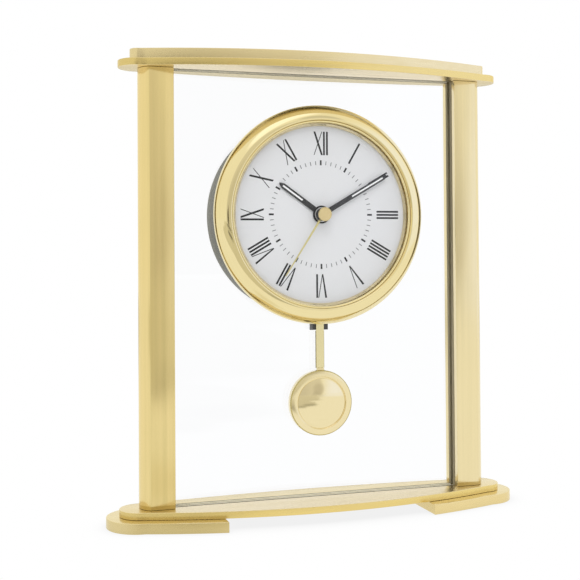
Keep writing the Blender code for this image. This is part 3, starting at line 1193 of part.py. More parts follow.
def build_pendulum():
    """Pivot pin, hanger with its magnet, rod and bob, hanging straight down."""
    pivot = (0, PIVOT_HEIGHT)
    head_low = HANGER_FRONT + FIT_GAP
    head_high = head_low + PIVOT_HEAD_HEIGHT
    pin_back = CASE_FORWARD - PIVOT_PIN_DEPTH
    profile = [(0, head_high), (PIVOT_HEAD_RADIUS, head_high), (PIVOT_HEAD_RADIUS, head_low),
               (PIVOT_PIN_RADIUS, head_low), (PIVOT_PIN_RADIUS, pin_back), (0, pin_back)]
    turned("pivot_pin", profile, "steel", pivot, steps=SMALL_STEPS)

    half = HANGER_WIDTH / 2
    bottom = HEAD_HEIGHT - HANGER_BOTTOM_DROP - PIVOT_HEIGHT
    outline = arc(0, 0, half, 0, math.pi, END_POINTS) + [(-half, bottom), (half, bottom)]
    hanger = flat("pendulum_hanger", outline, HANGER_BACK, HANGER_FRONT, "black_plastic", True, pivot)
    peg = (0, HEAD_HEIGHT - HANGER_PEG_DROP)
    join(hanger, bore("hanger_peg", HANGER_PEG_RADIUS, HANGER_FRONT - HANGER_THICKNESS / 2,
                      HANGER_FRONT + HANGER_PEG_LENGTH, peg))
    cut(hanger, bore("hanger_eye", PIVOT_PIN_RADIUS + PIVOT_GAP, HANGER_BACK - OVERRUN,
                     HANGER_FRONT + OVERRUN, pivot))
    magnet_front = HANGER_BACK - FIT_GAP
    turned("pendulum_magnet", rod_profile(MAGNET_RADIUS, magnet_front - MAGNET_THICKNESS, magnet_front),
           "steel", (0, HEAD_HEIGHT - SWING_COIL_DROP), steps=SMALL_STEPS)

    rod_bottom = BOB_HEIGHT + BOB_RADIUS - ROD_IN_BOB
    rod_top = HEAD_HEIGHT - ROD_TOP_DROP
    wide = ROD_WIDTH / 2
    rod = block("pendulum_rod", (-wide, -ROD_FRONT, rod_bottom), (wide, -ROD_BACK, rod_top), "pale_brass")
    cut(rod, bore("rod_eye", HANGER_PEG_RADIUS + PIVOT_GAP, ROD_BACK - OVERRUN, ROD_FRONT + OVERRUN, peg))

    back = GLASS_FRONT + HANGER_CLEARANCE
    front = back + BOB_RIM_THICKNESS
    bevel = BOB_EDGE_BEVEL
    rim_inner = BOB_RADIUS - BOB_RIM_WIDTH
    step = front - BOB_STEP_DEPTH
    profile = dome(rim_inner - BOB_STEP_WIDTH, step, BOB_DOME_RISE)
    profile += [(rim_inner, step), (rim_inner + bevel / 2, front), (BOB_RADIUS - bevel, front),
                (BOB_RADIUS, front - bevel), (BOB_RADIUS, back + bevel), (BOB_RADIUS - bevel, back), (0, back)]
    bob = turned("pendulum_bob", profile, "pale_brass", (0, BOB_HEIGHT), steps=RING_STEPS)
    cut(bob, block("bob_slot", (-wide - FIT_GAP, -ROD_FRONT - FIT_GAP, rod_bottom - FIT_GAP),
                   (wide + FIT_GAP, -ROD_BACK + FIT_GAP, BOB_HEIGHT + BOB_RADIUS + OVERRUN), None, CUTTERS))


def main():
    build_feet()
    build_plates()
    build_posts()
    build_fasteners()
    build_glass()
    build_housing()
    build_can()
    build_bezel()
    build_crystal()
    build_dial()
    build_hands()
    centre = (0, HEAD_HEIGHT)
    train_axes = build_seconds_train(centre)
    work_axis = build_motion_work(centre)
    build_case(centre, train_axes, work_axis)
    build_electrics(train_axes[2])
    build_movement_screws()
    build_pendulum()


main()
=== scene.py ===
"""Pendulum mantel clock: finer pieces, finishes and the studio picture.

The clock faces -Y, X is to the viewer's right and Z is up. Lengths in the size classes are
millimetres. Heights called forward are measured from the middle of the glass pane towards
the viewer, and radii of the clock head are measured from the middle of the dial.
"""

import logging
import math
from collections.abc import Iterable, Sequence
from dataclasses import dataclass
from enum import Enum
from functools import cache

import bmesh
import bpy
from mathutils import Matrix, Vector


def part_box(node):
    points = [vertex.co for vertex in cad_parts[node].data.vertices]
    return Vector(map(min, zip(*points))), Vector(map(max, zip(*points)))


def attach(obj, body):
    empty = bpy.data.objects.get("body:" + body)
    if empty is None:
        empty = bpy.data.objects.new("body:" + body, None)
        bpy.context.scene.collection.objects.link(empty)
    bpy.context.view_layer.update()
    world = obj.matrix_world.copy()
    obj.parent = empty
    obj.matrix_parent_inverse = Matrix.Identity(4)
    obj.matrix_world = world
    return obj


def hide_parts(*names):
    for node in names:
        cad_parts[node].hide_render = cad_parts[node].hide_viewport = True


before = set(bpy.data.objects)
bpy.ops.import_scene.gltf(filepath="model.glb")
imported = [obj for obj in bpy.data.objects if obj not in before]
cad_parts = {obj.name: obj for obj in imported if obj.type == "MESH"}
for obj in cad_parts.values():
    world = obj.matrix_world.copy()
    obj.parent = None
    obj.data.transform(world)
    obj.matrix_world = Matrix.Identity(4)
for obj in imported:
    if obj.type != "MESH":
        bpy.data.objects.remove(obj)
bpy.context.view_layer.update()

Point = tuple[float, float]
Colour = tuple[float, float, float]
WHITE: Colour = (1.0, 1.0, 1.0)

LOG = logging.getLogger("mantel_clock")
MM = 0.001
SIDES = ((-1, "left"), (1, "right"))

ON_AXIS = 1e-6  # a radius below this is a point of the axis
OVERCUT = 1.0  # how far a cutting tool stands out of the face it cuts
SHARP_FLAT = 17.0  # degrees above which an edge of a cut outline stays sharp
SHARP_TURNED = 24.0  # the same for turned pieces
ROUNDED_FROM = 40.0  # degrees above which an edge is rounded
EDGE_STEPS = 4  # faces across a rounded edge
FINE_STEPS = 2  # the same on small pieces


class Grain(Enum):
    """Which way the fine lines of a metal finish run."""

    NONE = "none"
    ALONG_X = "along_x"
    ALONG_Z = "along_z"
    TURNED = "turned"


class Plane(Enum):
    """Whether an outline lies flat or stands facing the viewer."""

    FLAT = "flat"
    FACING = "facing"


class Change(Enum):
    """Whether a tool is cut out of a piece or joined to it."""

    CUT = "DIFFERENCE"
    JOIN = "UNION"


def middle(node: str) -> Point:
    """Middle of a node in the picture plane, in millimetres."""
    low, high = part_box(node)
    return (low.x + high.x) / 2 / MM, (low.z + high.z) / 2 / MM


def levels(node: str) -> Point:
    """Lowest and highest z of a node, in millimetres."""
    low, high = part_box(node)
    return low.z / MM, high.z / MM


@dataclass(frozen=True)
class Site:
    """Where the pane and the clock head are, in millimetres."""

    pane_y: float
    head_x: float
    head_z: float

    @classmethod
    def of_clock(cls) -> "Site":
        """Reads the places from the pane and the dial."""
        low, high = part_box("glass_panel")
        return cls((low.y + high.y) / 2 / MM, *middle("dial_plate"))

    def forward(self, node: str) -> Point:
        """Foremost and hindmost forward height of a node."""
        low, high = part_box(node)
        return self.pane_y - low.y / MM, self.pane_y - high.y / MM

    def facing_point(self, x: float, z: float, forward: float) -> Vector:
        """A point given by its place in the picture plane and how far forward it is."""
        return Vector((x, self.pane_y - forward, z)) * MM

    def flat_point(self, x: float, depth: float, z: float) -> Vector:
        """A point given by x, its depth behind the pane and its height."""
        return Vector((x, self.pane_y + depth, z)) * MM

    def on_dial(self, degrees: float, along: float, across: float) -> Point:
        """A point along and across a ray from the dial's middle, at a clockwise angle from twelve."""
        sine, cosine = math.sin(math.radians(degrees)), math.cos(math.radians(degrees))
        return self.head_x + along * sine + across * cosine, self.head_z + along * cosine - across * sine


SITE = Site.of_clock()


def arc(centre: Point, radius: float, start: float, end: float, count: int) -> list[Point]:
    """Points along an arc, both ends included.

    Args:
        centre: Middle of the arc.
        radius: Its radius.
        start: First angle in radians.
        end: Last angle in radians.
        count: Number of steps.

    Returns:
        The points in order.
    """
    step = (end - start) / count
    return [(centre[0] + radius * math.cos(start + step * i), centre[1] + radius * math.sin(start + step * i))
            for i in range(count + 1)]


def circle(centre: Point, radius: float, count: int) -> list[Point]:
    """Points of a circle."""
    return arc(centre, radius, 0, 2 * math.pi * (count - 1) / count, count - 1)


def rectangle(low: Point, high: Point) -> list[Point]:
    """Corners of a rectangle."""
    return [(low[0], low[1]), (high[0], low[1]), (high[0], high[1]), (low[0], high[1])]


def dome(radius: float, low: float, rise: float, count: int) -> list[Point]:
    """Points of a shallow dome from its middle to its edge.

    Args:
        radius: Radius of its edge.
        low: Forward height of its edge.
        rise: How much higher its middle is.
        count: Number of steps.

    Returns:
        Points of (radius, forward).
    """
    sphere = (radius ** 2 + rise ** 2) / (2 * rise)
    radii = [radius * i / count for i in range(count + 1)]
    return [(r, low + rise - sphere + math.sqrt(sphere ** 2 - r ** 2)) for r in radii]


def quarter(start: Point, end: Point, radius_first: bool, count: int = 5) -> list[Point]:
    """Points of a quarter ellipse from start to end, start left out.

    Args:
        start: First point, as (radius, forward).
        end: Last point.
        radius_first: True leaves start along the radius, False leaves it along the forward height.
        count: Number of steps.

    Returns:
        The points after start.
    """
    points = []
    for i in range(1, count + 1):
        angle = math.pi / 2 * i / count
        shares = (math.sin(angle), 1 - math.cos(angle))
        across, along = shares if radius_first else shares[::-1]
        points.append((start[0] + (end[0] - start[0]) * across, start[1] + (end[1] - start[1]) * along))
    return points


def to_object(name: str, shape: bmesh.types.BMesh, sharp: float = SHARP_TURNED) -> bpy.types.Object:
    """Turns a shape into a smooth-shaded object of the scene.

    Args:
        name: Name of the object and its mesh.
        shape: The shape, freed afterwards.
        sharp: Edges steeper than this, in degrees, stay sharp.

    Returns:
        The new object, at the origin.
    """
    bmesh.ops.recalc_face_normals(shape, faces=shape.faces)
    mesh = bpy.data.meshes.new(name)
    shape.to_mesh(mesh)
    shape.free()
    mesh.shade_smooth()
    mesh.set_sharp_from_angle(angle=math.radians(sharp))
    obj = bpy.data.objects.new(name, mesh)
    bpy.context.scene.collection.objects.link(obj)
    return obj


def turned(name: str, profile: Sequence[Point], closed: bool = True, steps: int = 180,
           centre: Point | None = None) -> bpy.types.Object:
    """A turned piece that faces the viewer.

    Args:
        name: Name of the piece.
        profile: Points of (radius, forward).
        closed: True joins the last point to the first, as a ring needs.
        steps: Number of faces around.
        centre: (x, z) of its axis; the head's own when left out.

    Returns:
        The piece.
    """
    x, z = centre or (SITE.head_x, SITE.head_z)
    shape = bmesh.new()
    rings: list[list[bmesh.types.BMVert]] = []
    for radius, forward in profile:
        if radius < ON_AXIS:
            rings.append([shape.verts.new(SITE.facing_point(x, z, forward))] * steps)
            continue
        turns = (2 * math.pi * i / steps for i in range(steps))
        rings.append([shape.verts.new(SITE.facing_point(x + radius * math.sin(turn), z + radius * math.cos(turn),
                                                        forward)) for turn in turns])
    pairs = list(zip(rings, rings[1:]))
    if closed:
        pairs.append((rings[-1], rings[0]))
    for ring, other in pairs:
        for i in range(steps):
            j = (i + 1) % steps
            face = list(dict.fromkeys((ring[i], ring[j], other[j], other[i])))
            if len(face) > 2:
                shape.faces.new(face)
    return to_object(name, shape)


def soften(shape: bmesh.types.BMesh, width: float, steps: int) -> None:
    """Rounds every steep edge of a shape.

    Args:
        shape: The shape to change.
        width: Width of the rounding in millimetres.
        steps: Faces across the rounding.
    """
    bmesh.ops.recalc_face_normals(shape, faces=shape.faces)
    limit = math.radians(ROUNDED_FROM)
    edges = [edge for edge in shape.edges if len(edge.link_faces) == 2 and edge.calc_face_angle() > limit]
    bmesh.ops.bevel(shape, geom=edges, offset=width * MM, segments=steps, profile=0.5, affect="EDGES",
                    clamp_overlap=True)


def prism_shape(loops: Sequence[Sequence[Point]], low: float, high: float, plane: Plane) -> bmesh.types.BMesh:
    """An outline, with holes if there are more loops, given thickness.

    Args:
        loops: The outer outline and the holes' outlines.
        low: Lower level, or the hindmost one when the outline faces the viewer.
        high: Upper or foremost level.
        plane: Whether the outline lies flat or faces the viewer.

    Returns:
        The closed shape.
    """
    place = SITE.flat_point if plane is Plane.FLAT else SITE.facing_point
    shape = bmesh.new()
    for level in (low, high):
        for loop in loops:
            verts = [shape.verts.new(place(*point, level)) for point in loop]
            for pair in zip(verts, verts[1:] + verts[:1]):
                shape.edges.new(pair)
            if len(loops) == 1:
                shape.faces.new(verts)
    shape.verts.ensure_lookup_table()
    count = sum(len(loop) for loop in loops)
    if len(loops) > 1:
        for first in (0, count):
            inside = set(shape.verts[first:first + count])
            bmesh.ops.triangle_fill(
                shape, use_beauty=True,
                edges=[edge for edge in shape.edges if edge.verts[0] in inside and edge.verts[1] in inside])
            shape.verts.ensure_lookup_table()
    start = 0
    for loop in loops:
        size = len(loop)
        for i in range(size):
            a, b = start + i, start + (i + 1) % size
            shape.faces.new([shape.verts[j] for j in (a, b, count + b, count + a)])
        start += size
    return shape


def prism(name: str, loops: Sequence[Sequence[Point]], low: float, high: float, plane: Plane,
          edge: float = 0.0, steps: int = EDGE_STEPS, sharp: float = SHARP_FLAT) -> bpy.types.Object:
    """A piece of the given outline with softened edges.

    Args:
        name: Name of the piece.
        loops: The outer outline and the holes' outlines.
        low: Lower or hindmost level.
        high: Upper or foremost level.
        plane: Whether the outline lies flat or faces the viewer.
        edge: Width of the edges' rounding.
        steps: Faces across the rounding.
        sharp: Angle above which edges stay sharp.

    Returns:
        The piece.
    """
    shape = prism_shape(loops, low, high, plane)
    if edge:
        soften(shape, edge, steps)
    return to_object(name, shape, sharp)


def applied(obj: bpy.types.Object, sharp: float) -> bpy.types.Object:
    """Replaces an object's mesh by what its modifiers make of it.

    Args:
        obj: The object.
        sharp: Angle above which edges stay sharp.

    Returns:
        The same object without modifiers.
    """
    bpy.context.view_layer.update()
    mesh = bpy.data.meshes.new_from_object(obj.evaluated_get(bpy.context.evaluated_depsgraph_get()))
    obj.modifiers.clear()
    old = obj.data
    obj.data = mesh
    bpy.data.meshes.remove(old)
    mesh.name = obj.name
    mesh.shade_smooth()
    mesh.set_sharp_from_angle(angle=math.radians(sharp))
    return obj


def combined(obj: bpy.types.Object, tools: Iterable[bpy.types.Object], change: Change, sharp: float = SHARP_FLAT
             ) -> bpy.types.Object:
    """Cuts tools out of a piece or joins them to it, and removes the tools.

    Args:
        obj: The piece.
        tools: Closed shapes.
        change: Cut or join.
        sharp: Angle above which edges stay sharp.

    Returns:
        The changed piece.
    """
    tools = list(tools)
    for tool in tools:
        step = obj.modifiers.new("change", "BOOLEAN")
        step.operation, step.solver, step.object = change.value, "EXACT", tool
    applied(obj, sharp)
    for tool in tools:
        bpy.data.objects.remove(tool)
    return obj


class Tree:
    """Adds nodes to a node tree and joins them."""

    def __init__(self, tree: bpy.types.NodeTree) -> None:
        """Keeps the tree."""
        self.tree = tree

    def add(self, kind: str, **settings: object) -> bpy.types.Node:
        """A new node with its settings.

        Args:
            kind: Blender's name of its kind.
            settings: Properties to set, by name.

        Returns:
            The node.
        """
        node = self.tree.nodes.new(kind)
        for name, value in settings.items():
            setattr(node, name, value)
        return node

    def join(self, source: object, socket: bpy.types.NodeSocket) -> None:
        """Links a socket to another, or sets a plain value."""
        if isinstance(source, bpy.types.NodeSocket):
            self.tree.links.new(source, socket)
        else:
            socket.default_value = source

    def fill(self, node: bpy.types.Node, *sources: object) -> bpy.types.NodeSocket | None:
        """Joins sources to a node's first inputs and gives its first output, if it has one."""
        for source, socket in zip(sources, node.inputs):
            self.join(source, socket)
        return node.outputs[0] if node.outputs else None

    def math(self, operation: str, first: object, second: object = 0.0, clamp: bool = False
             ) -> bpy.types.NodeSocket:
        """A sum on one or two values."""
        return self.fill(self.add("ShaderNodeMath", operation=operation, use_clamp=clamp), first, second)

    def vector(self, operation: str, first: object, second: object = (0.0, 0.0, 0.0)) -> bpy.types.NodeSocket:
        """A sum on two vectors.

        Args:
            operation: Name of the sum.
            first: First vector, a socket or plain.
            second: Second vector.

        Returns:
            The socket of the result, a value or a vector.
        """
        node = self.add("ShaderNodeVectorMath", operation=operation)
        self.fill(node, first, second)
        return node.outputs["Value" if operation in ("DOT_PRODUCT", "LENGTH") else "Vector"]

    def parts(self, vector: bpy.types.NodeSocket) -> Sequence[bpy.types.NodeSocket]:
        """The x, y and z of a vector.

        Args:
            vector: The vector's socket.

        Returns:
            The three sockets.
        """
        node = self.add("ShaderNodeSeparateXYZ")
        self.fill(node, vector)
        return node.outputs

    def noise(self, vector: object, scale: object, detail: float = 2.0, roughness: float = 0.5
              ) -> bpy.types.NodeSocket:
        """A noise value from 0 to 1.

        Args:
            vector: Where it is read.
            scale: How fine it is.
            detail: How many finer layers it has.
            roughness: How strong those are.

        Returns:
            The socket of the value.
        """
        node = self.add("ShaderNodeTexNoise")
        for name, source in (("Vector", vector), ("Scale", scale), ("Detail", detail), ("Roughness", roughness)):
            self.join(source, node.inputs[name])
        return node.outputs["Fac"]

    def spread(self, value: object, from_low: object, from_high: object, to_low: object = 0.0,
               to_high: object = 1.0, smooth: bool = False) -> bpy.types.NodeSocket:
        """A value moved from one range to another.

        Args:
            value: The value.
            from_low: Start of its range.
            from_high: End of its range.
            to_low: Start of the new range.
            to_high: End of the new range.
            smooth: Eases in and out when true.

        Returns:
            The socket of the result.
        """
        node = self.add("ShaderNodeMapRange", interpolation_type="SMOOTHSTEP" if smooth else "LINEAR")
        self.fill(node, value, from_low, from_high, to_low, to_high)
        return node.outputs["Result"]

    def blend(self, factor: object, first: object, second: object) -> bpy.types.NodeSocket:
        """A colour between two colours.

        Args:
            factor: 0 gives the first, 1 the second.
            first: First colour, a socket or plain.
            second: Second colour.

        Returns:
            The socket of the colour.
        """
        node = self.add("ShaderNodeMix", data_type="RGBA")
        self.join(factor, node.inputs["Factor"])
        for source, socket in ((first, node.inputs[6]), (second, node.inputs[7])):
            self.join(source if isinstance(source, bpy.types.NodeSocket) else (*source, 1.0), socket)
        return node.outputs[2]


class Effects:
    """Shared shader effects, each a node group that puts out values only."""

    SCRATCH_SCALE = 3.7
    SCRATCH_RANGE = (0.62, 0.72)
    RING_WANDER = 1.5
    PATCH_RANGE = (0.42, 0.68)
    SPECK_SCALE = 45.0
    SPECK_RANGE = (0.7, 0.8)
    TONE_SCALE = 0.03

    @staticmethod
    def _new(name: str, outputs: Sequence[str], **inputs: object) -> tuple[Tree, bpy.types.Node, bpy.types.Node]:
        """Makes an empty group, with a position among its inputs.

        Args:
            name: Name of the group.
            outputs: Names of its value outputs.
            inputs: Default of each further input, a number or a vector.

        Returns:
            The group's tree, its input node and its output node.
        """
        group = bpy.data.node_groups.new(name, "ShaderNodeTree")
        for label, default in {"Position": (0.0, 0.0, 0.0), **inputs}.items():
            kind = "NodeSocketFloat" if isinstance(default, float) else "NodeSocketVector"
            group.interface.new_socket(label, in_out="INPUT", socket_type=kind).default_value = default
        for label in outputs:
            group.interface.new_socket(label, in_out="OUTPUT", socket_type="NodeSocketFloat")
        tree = Tree(group)
        return tree, tree.add("NodeGroupInput"), tree.add("NodeGroupOutput")

    @staticmethod
    @cache
    def brushed() -> bpy.types.NodeTree:
        """Long fine streaks, stretched along one axis."""
        tree, given, out = Effects._new("brushed_streaks", ("Streaks", "Scratches"), Stretch=(1.0, 1.0, 1.0))
        placed = tree.vector("MULTIPLY", given.outputs["Position"], given.outputs["Stretch"])
        streaks = tree.noise(placed, 1.0, detail=3.0, roughness=0.6)
        scratches = tree.noise(placed, Effects.SCRATCH_SCALE, detail=1.0, roughness=0.4)
        tree.fill(out, streaks, tree.spread(scratches, *Effects.SCRATCH_RANGE))
        return tree.tree

    @staticmethod
    @cache
    def turned() -> bpy.types.NodeTree:
        """Fine rings left by the lathe about an axis that faces the viewer."""
        tree, given, out = Effects._new("turned_rings", ("Rings", "Sweep"), Centre=(0.0, 0.0, 0.0), Pitch=4000.0)
        offset = tree.vector("SUBTRACT", given.outputs["Position"], given.outputs["Centre"])
        x, _, z = tree.parts(offset)
        radius = tree.math("SQRT", tree.math("ADD", tree.math("POWER", x, 2.0), tree.math("POWER", z, 2.0)))
        angle = tree.math("ARCTAN2", x, z)
        round_the_axis = [tree.math("MULTIPLY", tree.math(wave, angle), Effects.RING_WANDER)
                          for wave in ("COSINE", "SINE")]
        place = tree.fill(tree.add("ShaderNodeCombineXYZ"), tree.math("MULTIPLY", radius, given.outputs["Pitch"]),
                          *round_the_axis)
        tree.fill(out, tree.noise(place, 1.0), radius)
        return tree.tree

    @staticmethod
    @cache
    def handling() -> bpy.types.NodeTree:
        """Soft patches where a surface has been wiped or touched."""
        tree, given, out = Effects._new("handling_marks", ("Patches", "Specks"), Scale=30.0)
        position, scale = given.outputs["Position"], given.outputs["Scale"]
        broad = tree.noise(position, scale, detail=3.0, roughness=0.55)
        fine = tree.noise(position, tree.math("MULTIPLY", scale, Effects.SPECK_SCALE), detail=1.0)
        tree.fill(out, tree.spread(broad, *Effects.PATCH_RANGE), tree.spread(fine, *Effects.SPECK_RANGE))
        return tree.tree

    @staticmethod
    @cache
    def moulded() -> bpy.types.NodeTree:
        """The fine orange-peel skin of a moulded or painted surface."""
        tree, given, out = Effects._new("moulded_skin", ("Height", "Tone"), Scale=3000.0)
        position, scale = given.outputs["Position"], given.outputs["Scale"]
        coarse = tree.math("MULTIPLY", scale, Effects.TONE_SCALE)
        tree.fill(out, tree.noise(position, scale), tree.noise(position, coarse))
        return tree.tree


class Paintbox:
    """Starts a material and gives its finish the usual nodes."""

    def __init__(self, name: str) -> None:
        """Makes the material with a Principled surface.

        Args:
            name: Name of the material.
        """
        self.material = bpy.data.materials.new(name)
        self.material.use_nodes = True
        self.tree = Tree(self.material.node_tree)
        self.surface = next(n for n in self.material.node_tree.nodes if n.type == "BSDF_PRINCIPLED")
        self.output = next(n for n in self.material.node_tree.nodes if n.type == "OUTPUT_MATERIAL")
        places = self.tree.add("ShaderNodeTexCoord")
        self.position, self.normal = places.outputs["Object"], places.outputs["Normal"]

    def set(self, **values: object) -> None:
        """Joins or sets inputs of the surface, named with underscores for spaces."""
        for name, value in values.items():
            self.tree.join(value, self.surface.inputs[name.replace("_", " ")])

    def effect(self, group: bpy.types.NodeTree, **values: object) -> Sequence[bpy.types.NodeSocket]:
        """The outputs of a shared effect at this material's own place.

        Args:
            group: The effect.
            values: Its further inputs, by name.

        Returns:
            The outputs, to be taken by name.
        """
        node = self.tree.add("ShaderNodeGroup")
        node.node_tree = group
        for name, value in {"Position": self.position, **values}.items():
            self.tree.join(value, node.inputs[name])
        return node.outputs

    def bump(self, height: object, depth: float) -> None:
        """Raises the surface by a height from 0 to 1 times the depth in millimetres.

        Args:
            height: The height's socket.
            depth: The depth.
        """
        node = self.tree.add("ShaderNodeBump")
        for name, value in (("Strength", 1.0), ("Distance", depth * MM), ("Height", height)):
            self.tree.join(value, node.inputs[name])
        self.set(Normal=node.outputs[0])


@dataclass(frozen=True)
class Finish:
    """A finish, made into a material when it is first used."""

    name: str

    def material(self) -> bpy.types.Material:
        """Builds the material, or returns it if it is there already."""
        if found := bpy.data.materials.get(self.name):
            return found
        box = Paintbox(self.name)
        self.paint(box)
        return box.material

    def paint(self, box: Paintbox) -> None:
        """Adds the finish's own nodes to its new material."""
        raise NotImplementedError


@dataclass(frozen=True)
class PaintedShadingEnd:
    """A part of a piece's upright faces where a painted tone is blended in along one axis, painted shade towards a
    deeper colour and painted light towards a paler one, in metres.
    """

    axis: int
    start: float
    full: float
    amount: float
    colour: Colour


@dataclass(frozen=True)
class Metal(Finish):
    """A metal finish with grain, wiped patches and a tone that varies a little, with optional painted shade and
    painted light on its upright faces.
    """

    colour: Colour
    shade: Colour
    roughness: float
    grain: Grain = Grain.NONE
    grain_depth: float = 0.002
    grain_tone: float = 0.35
    patch: float = 0.05
    turned_about: Point | None = None
    # colour of the upright faces, deeper than the tops: painted shade by facing
    upright: Colour | None = None
    bands: float = 0.0
    # painted shade and painted light blended in at set ends of the upright faces
    painted_ends: tuple[PaintedShadingEnd, ...] = ()

    # how much finer the grain is along x, y and z
    STRETCH = {Grain.NONE: (700.0, 700.0, 700.0), Grain.ALONG_X: (14.0, 700.0, 1100.0),
               Grain.ALONG_Z: (1100.0, 700.0, 12.0)}
    BAND_STRETCH = (300.0, 120.0, 2.0)
    RING_PITCH = 3500.0
    MARK_SCALE = 28.0
    STREAK_RANGE = (0.3, 0.7)
    UPRIGHT_RANGE = (0.8, 0.3)
    BAND_RANGE = (0.38, 0.62)
    ROUGH_SHARES = (0.85, 1.2)
    PATCH_TONE = 0.12
    SCRATCH_ROUGHNESS = 0.05

    def toned(self, box: Paintbox, streak: bpy.types.NodeSocket, patches: bpy.types.NodeSocket
              ) -> bpy.types.NodeSocket:
        """The metal's colour with its streaks, patches and bands, and where given the painted shade on its upright
        faces and the painted light and shade at its ends.

        Args:
            box: The material's paintbox.
            streak: Value of the grain.
            patches: Value of the wiped patches.

        Returns:
            The colour.
        """
        tree = box.tree
        factor = tree.spread(streak, *self.STREAK_RANGE, 0.0, self.grain_tone)
        factor = tree.math("ADD", factor, tree.math("MULTIPLY", patches, self.PATCH_TONE), clamp=True)
        colour: object = self.colour
        # how upright each face is; upright faces take the painted shade colour and the painted ends
        upright = tree.spread(tree.math("ABSOLUTE", tree.parts(box.normal)[2]), *self.UPRIGHT_RANGE)
        if self.upright is not None:
            colour = tree.blend(upright, colour, self.upright)
        if self.bands:
            broad = tree.noise(tree.vector("MULTIPLY", box.position, self.BAND_STRETCH), 1.0, detail=1.0)
            factor = tree.math("ADD", factor, tree.spread(broad, *self.BAND_RANGE, 0.0, self.bands), clamp=True)
        toned = tree.blend(factor, colour, self.shade)
        # painted shade and painted light at the ends, on upright faces only
        for end in self.painted_ends:
            there = tree.spread(tree.parts(box.position)[end.axis], end.start, end.full, 0.0, end.amount,
                                smooth=True)
            toned = tree.blend(tree.math("MULTIPLY", there, upright), toned, end.colour)
        return toned

    def paint(self, box: Paintbox) -> None:
        """Adds the colour, the grain and the gloss.

        Args:
            box: The material's paintbox.
        """
        tree = box.tree
        patches = box.effect(Effects.handling(), Scale=self.MARK_SCALE)["Patches"]
        scratch = None
        if self.grain is Grain.TURNED:
            x, z = self.turned_about or (SITE.head_x, SITE.head_z)
            lines = box.effect(Effects.turned(), Centre=(x * MM, 0.0, z * MM), Pitch=self.RING_PITCH)
            streak = lines["Rings"]
        else:
            lines = box.effect(Effects.brushed(), Stretch=self.STRETCH[self.grain])
            streak, scratch = lines["Streaks"], lines["Scratches"]
        rough = tree.spread(streak, *self.STREAK_RANGE, *(self.roughness * share for share in self.ROUGH_SHARES))
        rough = tree.math("ADD", rough, tree.math("MULTIPLY", patches, self.patch), clamp=True)
        if scratch is not None:
            rough = tree.math("ADD", rough, tree.math("MULTIPLY", scratch, self.SCRATCH_ROUGHNESS), clamp=True)
        box.set(Base_Color=self.toned(box, streak, patches), Roughness=rough, Metallic=1.0)
        box.bump(streak, self.grain_depth)


@dataclass(frozen=True)
class Coated(Finish):
    """Plastic, paint, rubber or enamel with a moulded skin."""

    colour: Colour
    shade: Colour
    roughness: float
    skin_depth: float = 0.004
    skin_scale: float = 3000.0
    coat: float = 0.0
    gloss: float = 0.5

    MARK_SCALE = 35.0
    TONE_SHARE = 0.5
    PATCH_SHARE = 0.3
    ROUGHENING = (("Patches", 0.06), ("Specks", 0.05))

    def paint(self, box: Paintbox) -> None:
        """Adds the colour, the skin and the gloss.

        Args:
            box: The material's paintbox.
        """
        tree = box.tree
        marks = box.effect(Effects.handling(), Scale=self.MARK_SCALE)
        skin = box.effect(Effects.moulded(), Scale=self.skin_scale)
        factor = tree.math("ADD", tree.math("MULTIPLY", skin["Tone"], self.TONE_SHARE),
                           tree.math("MULTIPLY", marks["Patches"], self.PATCH_SHARE), clamp=True)
        rough: object = self.roughness
        for name, share in self.ROUGHENING:
            rough = tree.math("ADD", rough, tree.math("MULTIPLY", marks[name], share), clamp=True)
        box.set(Base_Color=tree.blend(factor, self.colour, self.shade), Roughness=rough, Coat_Weight=self.coat,
                Specular_IOR_Level=self.gloss)
        box.bump(skin["Height"], self.skin_depth)


@dataclass(frozen=True)
class ClearGlass(Finish):
    """Clear glass that lets light through to what is behind it."""

    colour: Colour = (0.985, 0.99, 1.0)
    shadow: Colour = (0.96, 0.97, 0.98)
    roughness: float = 0.004
    bending: float = 1.5

    MARK_SCALE = 22.0
    PATCH_SHARE = 0.3
    PATCH_LIGHT = 0.99

    def paint(self, box: Paintbox) -> None:
        """Adds the clear body, and plain see-through for the light that casts shadows.

        Args:
            box: The material's paintbox.
        """
        tree = box.tree
        patches = box.effect(Effects.handling(), Scale=self.MARK_SCALE)["Patches"]
        tone = tree.blend(tree.math("MULTIPLY", patches, self.PATCH_SHARE), self.colour,
                          tuple(c * self.PATCH_LIGHT for c in self.colour))
        box.set(Metallic=0.0, Transmission_Weight=1.0, IOR=self.bending, Base_Color=tone,
                Roughness=tree.math("MULTIPLY", patches, self.roughness))
        clear = tree.fill(tree.add("ShaderNodeBsdfTransparent"), (*self.shadow, 1.0))
        shadow_ray = tree.add("ShaderNodeLightPath").outputs["Is Shadow Ray"]
        mixed = tree.fill(tree.add("ShaderNodeMixShader"), shadow_ray, box.surface.outputs[0], clear)
        tree.join(mixed, box.output.inputs["Surface"])


